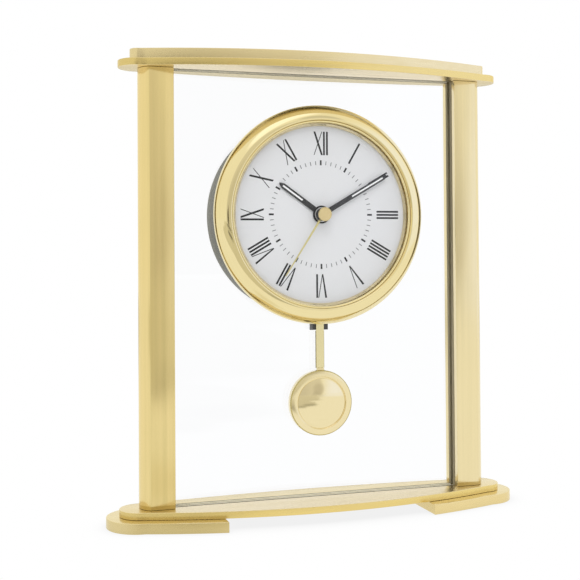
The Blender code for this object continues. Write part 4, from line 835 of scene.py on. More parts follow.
@dataclass(frozen=True)
class DialPaint(Finish):
    """Pale dial paint with a painted warm reflection of the brass ring close to the dial's edge."""

    colour: Colour
    reflection_colour: Colour
    reflection_start: float
    reflection_end: float
    roughness: float = 0.55
    skin_depth: float = 0.002

    SKIN_SCALE = 2500.0
    SKIN_RANGE = (0.3, 0.7)
    TONE_SHARE = 0.25
    TONE_LIGHT = 0.96
    ROUGH_SHARES = (0.92, 1.08)

    def paint(self, box: Paintbox) -> None:
        """Adds the colour, the painted reflection near the edge and the skin.

        Args:
            box: The material's paintbox.
        """
        tree = box.tree
        centre = (SITE.head_x * MM, 0.0, SITE.head_z * MM)
        sweep = box.effect(Effects.turned(), Centre=centre)["Sweep"]
        skin = box.effect(Effects.moulded(), Scale=self.SKIN_SCALE)
        toned = tree.blend(tree.math("MULTIPLY", skin["Tone"], self.TONE_SHARE), self.colour,
                           tuple(c * self.TONE_LIGHT for c in self.colour))
        # painted reflection of the brass ring, warming the paint towards the dial's edge
        edge = tree.spread(sweep, self.reflection_start * MM, self.reflection_end * MM, smooth=True)
        rough = tree.spread(skin["Height"], *self.SKIN_RANGE,
                            *(self.roughness * share for share in self.ROUGH_SHARES))
        box.set(Base_Color=tree.blend(edge, toned, self.reflection_colour), Roughness=rough)
        box.bump(skin["Height"], self.skin_depth)


BRASS_SHADE: Colour = (0.70, 0.56, 0.27)
# colour of the painted shade at the plates' left ends
LEFT_SHADE_BRASS: Colour = (0.50, 0.41, 0.20)
DARK_GOLD: Colour = (0.50, 0.36, 0.10)
# colour of the painted light on the feet's rounded left tips
PALE_BRASS: Colour = (0.86, 0.74, 0.46)
BASE_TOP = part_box("base_plate")[1].z
# painted shade along the bottom of the posts, where they stand on the base plate
POST_BOTTOM_SHADE = PaintedShadingEnd(2, BASE_TOP + 0.0022, BASE_TOP + 0.0016, 0.7, DARK_GOLD)
LEFT_FROM, LEFT_FULL = -0.02, -0.065  # where the painted shade on the plates' left ends starts, and where it is darkest
# plates, crown and feet get painted shade towards their left ends
# name, colour, shade, roughness, and the grain with its depth and tone
PLATE_BRASS = Metal("plate_brass", (0.84, 0.73, 0.50), BRASS_SHADE, 0.24, Grain.ALONG_X, 0.0012, 0.2,
                    upright=(0.83, 0.65, 0.25), painted_ends=(PaintedShadingEnd(0, LEFT_FROM, LEFT_FULL, 0.36, LEFT_SHADE_BRASS),))
CROWN_BRASS = Metal("crown_brass", (0.84, 0.73, 0.50), BRASS_SHADE, 0.26, Grain.ALONG_X, 0.0012, 0.2,
                    upright=(0.84, 0.72, 0.44), painted_ends=(PaintedShadingEnd(0, LEFT_FROM, LEFT_FULL, 0.25, LEFT_SHADE_BRASS),))
# the feet also get painted light on their rounded left tips
FOOT_BRASS = Metal("foot_brass", (0.84, 0.73, 0.46), BRASS_SHADE, 0.22, Grain.ALONG_X, 0.0012, 0.2,
                   upright=(0.83, 0.68, 0.36), painted_ends=(PaintedShadingEnd(0, LEFT_FROM, LEFT_FULL, 0.62, LEFT_SHADE_BRASS),
                                                       PaintedShadingEnd(0, -0.085, -0.097, 0.35, PALE_BRASS)))
POST_BRASS = Metal("post_brass", (0.84, 0.68, 0.34), (0.68, 0.57, 0.27), 0.15, Grain.ALONG_Z, 0.002, 0.25,
                   bands=0.45, painted_ends=(POST_BOTTOM_SHADE,))
# the right post's paler tone is painted light from the right side
LIT_POST_BRASS = Metal("lit_post_brass", (0.85, 0.735, 0.465), (0.76, 0.65, 0.38), 0.15, Grain.ALONG_Z,
                        0.002, 0.2, bands=0.12, painted_ends=(POST_BOTTOM_SHADE,))
BEZEL_BRASS = Metal("bezel_brass", (0.86, 0.755, 0.45), BRASS_SHADE, 0.07, Grain.TURNED, 0.0004, 0.12, 0.02)
REFLECTOR_BRASS = Metal("reflector_brass", (0.86, 0.74, 0.46), (0.78, 0.64, 0.36), 0.24, Grain.TURNED, 0.001)
BOB_CENTRE: Point = (0.0, 51.9)
BOB_BRASS = Metal("bob_brass", (0.86, 0.755, 0.49), (0.76, 0.65, 0.38), 0.07, Grain.TURNED, 0.0006, 0.2, 0.03,
                  BOB_CENTRE)
BOB_EDGE_BRASS = Metal("bob_edge_brass", (0.58, 0.49, 0.21), (0.50, 0.42, 0.17), 0.3, Grain.NONE, 0.0005)
ROD_BRASS = Metal("rod_brass", (0.84, 0.76, 0.47), (0.74, 0.66, 0.38), 0.2, Grain.ALONG_Z, 0.002)
# dark strip showing beside the rod: painted shade along its sides
EDGE_BRASS = Metal("edge_brass", (0.34, 0.30, 0.17), (0.26, 0.23, 0.12), 0.35, Grain.ALONG_Z, 0.001)
CAP_GILT = Metal("cap_gilt", (0.72, 0.58, 0.30), (0.64, 0.50, 0.24), 0.38, Grain.TURNED, 0.001)
NEEDLE_GILT = Metal("needle_gilt", (0.64, 0.56, 0.27), (0.54, 0.47, 0.20), 0.3, Grain.NONE, 0.0005)
RING_STEEL = Metal("ring_steel", (0.80, 0.80, 0.79), (0.66, 0.66, 0.65), 0.45, Grain.TURNED, 0.001)
BRIGHT_STEEL = Metal("bright_steel", (0.62, 0.63, 0.65), (0.48, 0.49, 0.51), 0.28, Grain.TURNED, 0.001)
SHEET_STEEL = Metal("sheet_steel", (0.55, 0.56, 0.58), (0.42, 0.43, 0.46), 0.34, Grain.ALONG_X, 0.002)
WOUND_COPPER = Metal("wound_copper", (0.80, 0.42, 0.24), (0.55, 0.25, 0.12), 0.32, Grain.TURNED, 0.03, 0.6)
PANE_GLASS = ClearGlass("pane_glass")
CRYSTAL_GLASS = ClearGlass("crystal_glass", (0.99, 0.995, 1.0), (0.97, 0.975, 0.98), bending=1.3)
# warm tone from 40.2 mm to 43.2 mm out: painted reflection of the brass ring
DIAL_WHITE = DialPaint("dial_paint", (0.80, 0.80, 0.81), (0.80, 0.72, 0.56), 40.2, 43.2)
# name, colour, shade, roughness and depth of the skin
INLAY_WHITE = Coated("inlay_white", (0.96, 0.96, 0.96), (0.92, 0.92, 0.92), 0.5, 0.001)
PRINT_BLACK = Coated("print_black", (0.012, 0.012, 0.014), (0.022, 0.022, 0.024), 0.5, 0.001, gloss=0.15)
HUB_BLACK = Coated("hub_black", (0.006, 0.006, 0.007), (0.010, 0.010, 0.011), 0.5, 0.001, gloss=0.12)
PRINT_GREY = Coated("print_grey", (0.16, 0.16, 0.165), (0.2, 0.2, 0.205), 0.5, 0.001)
CHARCOAL = Coated("charcoal_paint", (0.022, 0.022, 0.024), (0.032, 0.032, 0.034), 0.45, 0.001, gloss=0.3)
GREY_PLASTIC = Coated("grey_plastic_skin", (0.088, 0.094, 0.092), (0.074, 0.08, 0.08), 0.4, 0.006)
BLACK_PLASTIC = Coated("black_plastic_skin", (0.02, 0.02, 0.022), (0.035, 0.035, 0.038), 0.42, 0.006)
# paler grey of the hanger's left cheek: painted light on that side
SIDE_LIGHT_GREY = Coated("side_light_grey", (0.15, 0.15, 0.152), (0.19, 0.19, 0.192), 0.5, 0.004)
HANGER_PLASTIC = Coated("hanger_plastic_skin", (0.05, 0.05, 0.055), (0.07, 0.07, 0.075), 0.45, 0.004)
WHITE_PLASTIC = Coated("white_plastic_skin", (0.74, 0.73, 0.69), (0.66, 0.65, 0.61), 0.4, 0.003)
BLACK_RUBBER = Coated("gasket_rubber", (0.015, 0.015, 0.016), (0.03, 0.03, 0.031), 0.75, 0.01)
# seal strips in the grooves; their dark tone is painted shade of the grooves
PANE_GROOVE_SHADE = Coated("pane_groove_shade_seal", (0.10, 0.085, 0.045), (0.14, 0.12, 0.065), 0.5, 0.004)
POST_GROOVE_SHADE = Coated("post_groove_shade_seal", (0.27, 0.225, 0.13), (0.32, 0.27, 0.16), 0.5, 0.004)
PACKING = Coated("pane_packing", (0.97, 0.90, 0.70), (0.92, 0.85, 0.64), 0.5, 0.002)
BOARD_GREEN = Coated("board_mask", (0.02, 0.16, 0.07), (0.03, 0.22, 0.10), 0.3, 0.003, skin_scale=2200.0, coat=0.4)
CELL_JACKET = Coated("cell_jacket_film", (0.03, 0.05, 0.11), (0.05, 0.075, 0.15), 0.25, 0.002, skin_scale=900.0,
                     coat=0.5)


def dress(obj: bpy.types.Object, finish: Finish, body: str, slot: str, *replaced: str) -> None:
    """Gives a new piece its finish and its moving body.

    Args:
        obj: The piece.
        finish: What it is finished in.
        body: The body it rides on.
        slot: The record's material slot, not used.
        replaced: Nodes of the plainer model that this piece stands for.
    """
    obj.data.materials.clear()
    obj.data.materials.append(finish.material())
    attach(obj, body)
    if replaced:
        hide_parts(*replaced)
    LOG.info("%s: %d faces, %s, rides on %s", obj.name, len(obj.data.polygons), finish.name, body)


@dataclass(frozen=True)
class FrameSizes:
    """Plates, posts and pane of the stand."""

    end_centre_x: float = 84.4
    end_radius: float = 9.4
    front_bulge: float = 13.9
    back_bulge: float = 5.3
    foot_margin: float = 5.8
    crown_margin: float = -5.4
    foot_inner_x: float = 49.2
    plate_edge: float = 0.28
    post_inner_x: float = 69.6
    post_end_x: float = 76.6
    post_half_depth: float = 7.2
    post_end_radius: float = 8.3
    post_edge: float = 0.25
    post_sharp: float = 14.0
    groove_half: float = 3.45
    bead_width: float = 0.36
    post_groove_half: float = 3.9
    groove_depth: float = 4.0
    plate_groove_depth: float = 1.2
    plate_groove_x: float = 73.6
    pane_edge: float = 0.3
    pane_half: float = 2.0
    seal_proud: float = 0.12
    seal_short: float = 1.2
    slack: float = 0.02
    seal_slack: float = 0.05
    bed: float = 0.1
    pane_hole: float = 45.0
    bolt_x: float = 77.9
    bolt_hole: float = 4.5
    bolt_sink: float = 3.4
    screw_x: float = 58.0
    screw_hole: float = 3.1
    screw_sink: float = 2.2


@dataclass(frozen=True)
class Stand:
    """Feet, plates, posts and pane."""

    sizes: FrameSizes = FrameSizes()

    def bow(self, margin: float, start: float, end: float, front: bool, count: int) -> list[Point]:
        """Points along the front or back bow of a plate.

        Args:
            margin: How far outside the plates' own outline.
            start: First x.
            end: Last x.
            front: True for the front bow.
            count: Number of steps.

        Returns:
            The points in order.
        """
        s = self.sizes
        bulge = s.front_bulge if front else s.back_bulge
        bow = (s.end_centre_x ** 2 + bulge ** 2) / (2 * bulge)
        points = []
        for i in range(count + 1):
            x = start + (end - start) * i / count
            depth = s.end_radius + margin + bulge - bow + math.sqrt(bow ** 2 - x ** 2)
            points.append((x, -depth if front else depth))
        return points

    def plate_outline(self, margin: float) -> list[Point]:
        """Outline of a whole plate with its bowed sides and round ends.

        Args:
            margin: How far outside the base plate's own outline.

        Returns:
            The outline's points.
        """
        radius, end = self.sizes.end_radius + margin, self.sizes.end_centre_x
        points = self.bow(margin, -end, end, True, count=64)
        points += arc((end, 0), radius, -math.pi / 2, math.pi / 2, count=32)[1:-1]
        points += self.bow(margin, end, -end, False, count=64)
        points += arc((-end, 0), radius, math.pi / 2, 3 * math.pi / 2, count=32)[1:-1]
        return points

    def foot_outline(self, side: int) -> list[Point]:
        """Outline of the foot on one side.

        Args:
            side: -1 for left, 1 for right.

        Returns:
            The outline's points.
        """
        s = self.sizes
        margin, end = s.foot_margin, s.end_centre_x
        points = self.bow(margin, s.foot_inner_x, end, True, count=16)
        points += arc((end, 0), s.end_radius + margin, -math.pi / 2, math.pi / 2, count=36)[1:-1]
        points += self.bow(margin, end, s.foot_inner_x, False, count=16)
        return [(side * x, y) for x, y in points]

    def build_feet(self) -> None:
        """Both end pads with the holes for their bolt and screw heads."""
        s = self.sizes
        bores = ((s.bolt_x, s.bolt_hole, 36, s.bolt_sink), (s.screw_x, s.screw_hole, 28, s.screw_sink))
        for side, name in SIDES:
            foot = prism(f"{name}_foot_pad", [self.foot_outline(side)], *levels(f"{name}_foot"), Plane.FLAT,
                         s.plate_edge)
            holes = [prism("hole", [circle((side * x, 0), radius, count)], -OVERCUT, sink, Plane.FLAT)
                     for x, radius, count, sink in bores]
            combined(foot, holes, Change.CUT)
            dress(foot, FOOT_BRASS, "clock", "satin_brass", f"{name}_foot")

    def build_plates(self) -> None:
        """Base plate, top plate and crown plate, with the pane's grooves."""
        s = self.sizes
        slot = rectangle((-s.plate_groove_x, -s.groove_half), (s.plate_groove_x, s.groove_half))
        for name, margin, finish in (("base_plate", 0.0, PLATE_BRASS), ("top_plate", 0.0, PLATE_BRASS),
                                     ("crown_plate", s.crown_margin, CROWN_BRASS)):
            low, high = levels(name)
            plate = prism(f"{name}_piece", [self.plate_outline(margin)], low, high, Plane.FLAT, s.plate_edge)
            grooves = {"base_plate": (high - s.plate_groove_depth, high + OVERCUT),
                       "top_plate": (low - OVERCUT, low + s.plate_groove_depth)}
            if name in grooves:
                combined(plate, [prism("slot", [slot], *grooves[name], Plane.FLAT)], Change.CUT)
            dress(plate, finish, "clock", "satin_brass", name)

    def post_outline(self, side: int) -> list[Point]:
        """Outline of the post on one side, flat inside and round outside.

        Args:
            side: -1 for left, 1 for right.

        Returns:
            The outline's points.
        """
        s = self.sizes
        inner, half, groove = s.post_inner_x, s.post_half_depth, s.post_groove_half
        deep = inner + s.groove_depth
        turn = math.asin(half / s.post_end_radius)
        points = [(inner, -half), *arc((s.post_end_x, 0), s.post_end_radius, -turn, turn, count=32)]
        points += [(inner, half), (inner, groove), (deep, groove), (deep, -groove), (inner, -groove)]
        return [(side * x, y) for x, y in points]

    def build_posts(self) -> None:
        """Both upright posts with the pane's grooves."""
        # the right post takes the paler finish, which is painted light
        for (side, name), finish in zip(SIDES, (POST_BRASS, LIT_POST_BRASS)):
            post = prism(f"{name}_post_piece", [self.post_outline(side)], *levels(f"{name}_post"), Plane.FLAT,
                         self.sizes.post_edge, sharp=self.sizes.post_sharp)
            dress(post, finish, "clock", "satin_brass", f"{name}_post")

    def build_pane(self) -> None:
        """The clear pane with its round hole and ground edges."""
        low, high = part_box("glass_panel")
        outline = rectangle((low.x / MM, low.z / MM), (high.x / MM, high.z / MM))
        hole = circle((SITE.head_x, SITE.head_z), self.sizes.pane_hole, count=160)
        half = (high.y - low.y) / MM / 2
        pane = prism("pane", [outline, hole], -half, half, Plane.FACING, self.sizes.pane_edge, FINE_STEPS)
        dress(pane, PANE_GLASS, "clock", "clear_glass", "glass_panel")

    def pane_strips(self, name: str, side: int, inner: float, outer: float, proud: float) -> bpy.types.Object:
        """A strip in the base plate's groove and one in the top plate's, as one piece.

        Args:
            name: Name of the piece.
            side: -1 in front of the pane, 1 behind it.
            inner: Distance of its near face from the pane's middle.
            outer: Distance of its far face.
            proud: How far it stands out of the groove.

        Returns:
            The piece, not yet dressed.
        """
        s = self.sizes
        floor, roof = levels("base_plate")[1], levels("top_plate")[0]
        reach, depth = s.post_inner_x - s.seal_proud - s.slack, s.plate_groove_depth
        low, high = sorted((side * inner, side * outer))
        strips = [prism(name, [rectangle((-reach, low), (reach, high))], bottom, top, Plane.FLAT)
                  for bottom, top in ((floor - depth + s.bed, floor + proud), (roof - proud, roof + depth - s.bed))]
        return combined(strips[0], strips[1:], Change.JOIN)

    def build_seals(self) -> None:
        """The pale packing round the pane and the seal strips that close its grooves, dark with painted groove shade.
        """
        s = self.sizes
        floor, roof = levels("base_plate")[1] + s.seal_slack, levels("top_plate")[0] - s.seal_slack
        inner, outer = s.pane_half + s.slack, s.groove_half - s.slack
        for side, name in ((-1, "front"), (1, "rear")):
            packing = self.pane_strips(f"{name}_packing", side, inner, outer - s.bead_width - s.slack, 0.0)
            dress(packing, PACKING, "clock", "white_plastic")
            seal = self.pane_strips(f"{name}_seal", side, outer - s.bead_width, outer, s.seal_proud)
            low, high = sorted((side * inner, side * (s.post_groove_half - s.seal_slack)))
            lips = []
            for end in (-1, 1):
                left, right = sorted((end * (s.post_inner_x - s.seal_proud),
                                      end * (s.post_inner_x + s.groove_depth - s.seal_short)))
                lips.append(prism(f"{name}_post_seal", [rectangle((left, low), (right, high))], floor, roof,
                                  Plane.FLAT))
            # the beads and the lips in the posts are dark with painted groove shade
            dress(seal, PANE_GROOVE_SHADE, "clock", "black_rubber")
            dress(combined(lips[0], lips[1:], Change.JOIN), POST_GROOVE_SHADE, "clock", "black_rubber")

    def build(self) -> None:
        """Builds the whole stand."""
        self.build_feet()
        self.build_plates()
        self.build_posts()
        self.build_pane()
        self.build_seals()


@dataclass(frozen=True)
class HeadSizes:
    """Radii and forward heights of the clock head."""

    bezel_radius: float = 51.4
    bezel_rear: float = 5.5
    bezel_shoulder: float = 7.1
    bezel_edge: float = 0.25
    # radius and tilt in degrees at each bend of the rim's face, from outside inwards
    face_bends: tuple[Point, ...] = ((51.4, 78.0), (50.85, 53.0), (49.0, 46.0), (46.3, 17.0), (44.75, 8.0),
                                     (44.25, -45.0))
    groove_drop: float = 0.45
    groove_corner: float = 0.05
    bead_centre: float = 43.45
    bead_radius: float = 0.45
    bead_lift: float = 0.1
    opening: float = 42.8
    opening_edge: float = 0.18
    lip_back: float = 11.0
    bore: float = 43.9
    wall: float = 0.9
    inner_step: float = 1.2
    inner_drop: float = 1.0
    reflector_outer: float = 43.6
    reflector_front: float = 9.0
    reflector_back: float = 7.5
    reflector_front_radius: float = 42.4
    reflector_back_radius: float = 41.4
    crystal_radius: float = 43.5
    crystal_edge: float = 0.2
    dome_radius: float = 42.2
    crystal_back: float = 9.3
    crystal_front: float = 10.7
    crystal_rise: float = 5.3
    crystal_thickness: float = 1.5
    housing_radius: float = 44.4
    housing_inner: float = 43.1
    housing_front: float = 5.2
    housing_back: float = -9.8
    lip_front: float = 6.3
    lip_wall: float = 1.2
    flange_radius: float = 50.3
    flange_back: float = 2.3
    slot_half: float = 9.0
    slot_rise: float = 9.6
    slot_over: float = 2.0
    slot_front: float = 0.6
    boss_wide: float = 2.6
    boss_half: float = 3.0
    boss_bore: float = 1.3
    boss_back: float = -9.0
    boss_front: float = -2.0
    boss_reach: float = 0.6
    gasket_edge: float = 0.2
    can_radius: float = 47.8
    can_front: float = -3.6
    can_back: float = -26.5
    can_corner: float = 2.0
    can_inner: float = 46.3
    can_wall: float = 1.7
    can_collar: float = 4.4
    cover_radius: float = 36.8
    cover_thickness: float = 0.9
    cover_ledge: float = 1.5
    cover_lip: float = 4.0
    cover_lip_wall: float = 1.5
    cover_edge: float = 0.25
    grip_half_length: float = 10.0
    grip_half_width: float = 2.0
    grip_height: float = 1.1
    grip_sunk: float = 0.05
    chamfer: float = 0.3


@dataclass(frozen=True)
class ClockHead:
    """Housing, bezel, reflector, crystal, can and rear cover."""

    sizes: HeadSizes = HeadSizes()

    def face_points(self) -> list[Point]:
        """Points of the rim's face from its inner edge outwards, built from the tilts it has on the way."""
        s = self.sizes
        high, count = s.bezel_shoulder, 10
        points: list[Point] = [(s.bezel_radius, high)]
        for (outer, steep), (inner, flat) in zip(s.face_bends, s.face_bends[1:]):
            first, last = math.sin(math.radians(steep)), math.sin(math.radians(flat))
            curve = (outer - inner) / (first - last)
            for i in range(1, count + 1):
                sine = first + (last - first) * i / count
                before = math.cos(math.asin(first + (last - first) * (i - 1) / count))
                high += curve * (math.cos(math.asin(sine)) - before)
                points.append((outer - curve * (first - sine), high))
        return points[::-1]

    def build_bezel(self) -> None:
        """The polished rim: a thin side band, a broad domed face, a fine groove and an inner bead."""
        s = self.sizes
        face = self.face_points()
        inner_radius, inner_high = face[0]
        bead = [(s.bead_centre - s.bead_radius * math.cos(a), s.lip_back + s.bead_lift + s.bead_radius * math.sin(a))
                for a in (math.pi * i / 12 for i in range(13))]
        edge, groove = s.lip_back + s.opening_edge, inner_high - s.groove_drop
        outer, inner, roof = s.bezel_radius - s.wall, s.bore + s.wall, inner_high - s.wall - s.inner_drop
        profile = [(s.opening, s.lip_back), (s.opening, edge), (bead[0][0], edge), *bead, (bead[-1][0], groove),
                   (inner_radius - s.groove_corner, groove), *face, (s.bezel_radius, s.bezel_rear + s.bezel_edge),
                   (s.bezel_radius - s.bezel_edge, s.bezel_rear), (outer, s.bezel_rear),
                   (outer, s.bezel_shoulder - s.wall), (inner + s.inner_step, roof), (inner, roof),
                   (inner, s.bezel_rear), (s.bore, s.bezel_rear), (s.bore, s.lip_back)]
        dress(turned("bezel_rim", profile, steps=256), BEZEL_BRASS, "clock", "polished_brass", "bezel")

    def build_reflector(self) -> None:
        """The sloped ring between dial and crystal."""
        s = self.sizes
        profile = [(s.reflector_outer, s.reflector_front), (s.reflector_outer, s.reflector_back),
                   (s.reflector_back_radius, s.reflector_back), (s.reflector_front_radius, s.reflector_front)]
        dress(turned("reflector", profile, steps=200), REFLECTOR_BRASS, "clock", "polished_brass", "reflector_ring")

    def build_crystal(self) -> None:
        """The domed crystal."""
        s = self.sizes
        radius, edge = s.crystal_radius, s.crystal_edge
        outer = dome(s.dome_radius, s.crystal_front, s.crystal_rise, count=24)
        inner = dome(s.dome_radius - s.crystal_thickness, s.crystal_back, s.crystal_rise, count=24)
        profile = [*outer, (radius - edge, s.crystal_front), (radius, s.crystal_front - edge),
                   (radius, s.crystal_back + edge), (radius - edge, s.crystal_back), *inner[::-1]]
        dress(turned("crystal", profile, closed=False, steps=200), CRYSTAL_GLASS, "clock", "clear_glass",
              "crystal_lens")

    def build_housing(self) -> None:
        """The grey tube through the pane and its flange, cut away for the pendulum's hanger."""
        s = self.sizes
        lip_outer, flange, front = s.bore - s.chamfer, s.flange_radius, s.housing_front
        lip_inner = lip_outer - s.lip_wall
        profile = [(lip_outer, s.lip_front), (lip_outer, front), (flange - s.chamfer, front),
                   (flange, front - s.chamfer), (flange, s.flange_back), (s.housing_radius, s.flange_back),
                   (s.housing_radius, s.housing_back), (s.housing_inner, s.housing_back), (s.housing_inner, front),
                   (lip_inner, front), (lip_inner, s.lip_front)]
        housing = turned("housing_piece", profile, steps=160)
        bottom = SITE.head_z - flange
        slot = prism("slot", [rectangle((-s.slot_half, bottom - s.slot_over), (s.slot_half, bottom + s.slot_rise))],
                     s.flange_back - s.slot_over, front + s.slot_front, Plane.FACING)
        combined(housing, [slot], Change.CUT, SHARP_TURNED)
        screw_x, screw_z = middle("right_movement_screw")
        for side in (-1, 1):
            inner, outer = sorted((side * (screw_x - s.boss_wide), side * (s.housing_inner + s.boss_reach)))
            block = rectangle((inner, screw_z - s.boss_half), (outer, screw_z + s.boss_half))
            bore = circle((side * screw_x, screw_z), s.boss_bore, count=24)
            boss = prism(f"boss_{side}", [block, bore], s.boss_back, s.boss_front, Plane.FACING, s.chamfer,
                         FINE_STEPS)
            combined(housing, [boss], Change.JOIN, SHARP_TURNED)
        dress(housing, GREY_PLASTIC, "clock", "grey_plastic", "front_housing")

    def build_gasket(self) -> None:
        """The rubber ring between pane and can."""
        edge, inner = self.sizes.gasket_edge, self.sizes.housing_radius + self.sizes.chamfer
        low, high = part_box("glass_gasket")
        front, back = SITE.forward("glass_gasket")
        outer = (high.x - low.x) / MM / 2
        profile = [(outer - edge, front), (outer, front - edge), (outer, back + edge), (outer - edge, back),
                   (inner, back), (inner, front)]
        dress(turned("gasket_ring", profile, steps=160), BLACK_RUBBER, "clock", "black_rubber", "glass_gasket")

    def build_can(self) -> None:
        """The grey can behind the pane, with its rounded back corner."""
        s = self.sizes
        opening, corner, bore = s.cover_radius + s.chamfer, s.can_corner, s.housing_radius + s.chamfer
        ledge, step = s.can_back + s.cover_thickness + s.chamfer, opening - s.cover_ledge
        floor, collar = s.can_back + s.can_wall, s.can_front - s.can_collar
        bend = [(s.can_radius - corner + corner * math.cos(a), s.can_back + corner - corner * math.sin(a))
                for a in (math.pi / 16 * i for i in range(9))]
        profile = [(s.can_radius - s.chamfer, s.can_front), (s.can_radius, s.can_front - s.chamfer), *bend,
                   (opening + s.chamfer, s.can_back), (opening, s.can_back + s.chamfer), (opening, ledge),
                   (step, ledge), (step, floor), (s.can_inner, floor), (s.can_inner, collar), (bore, collar),
                   (bore, s.can_front)]
        dress(turned("can_shell", profile), GREY_PLASTIC, "clock", "grey_plastic", "rear_can")

    def build_cover(self) -> None:
        """The pull-off cover with its grip bar between two finger hollows."""
        s = self.sizes
        radius, back, disc = s.cover_radius, s.can_back, s.can_back + s.cover_thickness
        lip_outer, lip_top = radius - s.cover_ledge, disc + s.cover_lip
        lip_inner = lip_outer - s.cover_lip_wall
        profile = [(0, disc), (lip_inner, disc), (lip_inner, lip_top), (lip_outer, lip_top), (lip_outer, disc),
                   (radius, disc), (radius, back + s.cover_edge), (radius - s.cover_edge, back), (0, back)]
        cover = turned("cover_disc", profile, closed=False, steps=160)
        half, length, z = s.grip_half_width, s.grip_half_length, SITE.head_z
        grip = prism("grip", [rectangle((-length, z - half), (length, z + half))], back + s.grip_sunk,
                     disc + s.grip_height, Plane.FACING)
        combined(cover, [grip], Change.JOIN, SHARP_TURNED)
        slot = s.grip_height / 2
        tools = []
        for side in (-1, 1):
            low = z + side * (half - slot * 2) - slot / 2
            tools.append(prism(f"finger_{side}", [rectangle((slot - length, low), (length - slot, low + slot))],
                               back - 2 * OVERCUT, disc, Plane.FACING))
        combined(cover, tools, Change.CUT, SHARP_TURNED)
        dress(cover, GREY_PLASTIC, "cover", "grey_plastic", "rear_cover")

    def build(self) -> None:
        """Builds the head's shell."""
        self.build_bezel()
        self.build_reflector()
        self.build_crystal()
        self.build_housing()
        self.build_gasket()
        self.build_can()
        self.build_cover()


class RingOfCopies:
    """A Geometry Nodes tree that sets copies of a shape round an axis facing the viewer."""

    INPUTS = (("Geometry", "NodeSocketGeometry"), ("Count", "NodeSocketInt"), ("Leave Out Each", "NodeSocketInt"),
              ("Centre", "NodeSocketVector"), ("Material", "NodeSocketMaterial"))

    @classmethod
    @cache
    def group(cls) -> bpy.types.NodeTree:
        """Builds the tree."""
        group = bpy.data.node_groups.new("ring_of_copies", "GeometryNodeTree")
        for name, kind in cls.INPUTS:
            group.interface.new_socket(name, in_out="INPUT", socket_type=kind)
        group.interface.new_socket("Geometry", in_out="OUTPUT", socket_type="NodeSocketGeometry")
        tree = Tree(group)
        given, out = tree.add("NodeGroupInput").outputs, tree.add("NodeGroupOutput")
        line = tree.add("GeometryNodeMeshLine", mode="OFFSET")
        tree.join(given["Count"], line.inputs["Count"])
        line.inputs["Offset"].default_value = (0.0, 0.0, 0.0)
        index = tree.add("GeometryNodeInputIndex").outputs[0]
        angle = tree.math("MULTIPLY", index, tree.math("DIVIDE", 2 * math.pi, given["Count"]))
        turn = tree.fill(tree.add("ShaderNodeCombineXYZ"), 0.0, angle)
        rotation = tree.fill(tree.add("FunctionNodeEulerToRotation"), turn)
        left_over = tree.math("MODULO", index, tree.math("MAXIMUM", given["Leave Out Each"], 1.0))
        none_left_out = tree.math("LESS_THAN", given["Leave Out Each"], 1.0)
        kept = tree.math("MAXIMUM", tree.math("GREATER_THAN", left_over, 0.5), none_left_out)
        copies = tree.add("GeometryNodeInstanceOnPoints")
        for name, source in (("Points", line.outputs[0]), ("Selection", kept), ("Instance", given["Geometry"]),
                             ("Rotation", rotation)):
            tree.join(source, copies.inputs[name])
        moved = tree.add("GeometryNodeTransform")
        tree.join(copies.outputs[0], moved.inputs["Geometry"])
        tree.join(given["Centre"], moved.inputs["Translation"])
        real = tree.fill(tree.add("GeometryNodeRealizeInstances"), moved.outputs[0])
        coloured = tree.add("GeometryNodeSetMaterial")
        tree.join(real, coloured.inputs["Geometry"])
        tree.join(given["Material"], coloured.inputs["Material"])
        tree.fill(out, coloured.outputs[0])
        return group

    @classmethod
    def spread(cls, obj: bpy.types.Object, count: int, finish: Finish, centre: Vector, leave_out_each: int = 0
               ) -> bpy.types.Object:
        """Sets copies of an object round an axis.

        Args:
            obj: A shape built about the origin; its mesh is replaced.
            count: Number of places round the ring.
            finish: Finish of the copies.
            centre: A point of the axis, in metres.
            leave_out_each: Leaves out the first and each such place after it; 0 keeps all.

        Returns:
            The object with its new mesh.
        """
        change = obj.modifiers.new("copies", "NODES")
        change.node_group = cls.group()
        keys = {item.name: item.identifier for item in change.node_group.interface.items_tree
                if item.in_out == "INPUT"}
        for name, value in (("Count", count), ("Leave Out Each", leave_out_each), ("Centre", tuple(centre)),
                            ("Material", finish.material())):
            change[keys[name]] = value
        return applied(obj, SHARP_TURNED)


@dataclass(frozen=True)
class DialSizes:
    """Plate, ticks and numerals of the dial."""

    radius: float = 43.5
    hole: float = 3.6
    back: float = 6.6
    front: float = 7.2
    edge: float = 0.1
    print_height: float = 0.03
    layer_step: float = 0.004
    minor_inner: float = 23.3
    minor_outer: float = 25.1
    minor_width: float = 0.35
    hour_inner: float = 23.1
    hour_outer: float = 25.5
    hour_width: float = 0.85
    numeral_inner: float = 27.9
    numeral_outer: float = 38.9
    thick: float = 0.88
    slant_thick: float = 0.9328
    slant_thin: float = 0.3744
    bar_pitch: float = 1.5
    x_width: float = 4.6
    x_top_inset: float = 0.25
    x_foot_inset: float = 0.1
    v_width: float = 4.3
    v_foot_share: float = 0.56
    v_point_share: float = 0.62
    joint_gap: float = 0.15


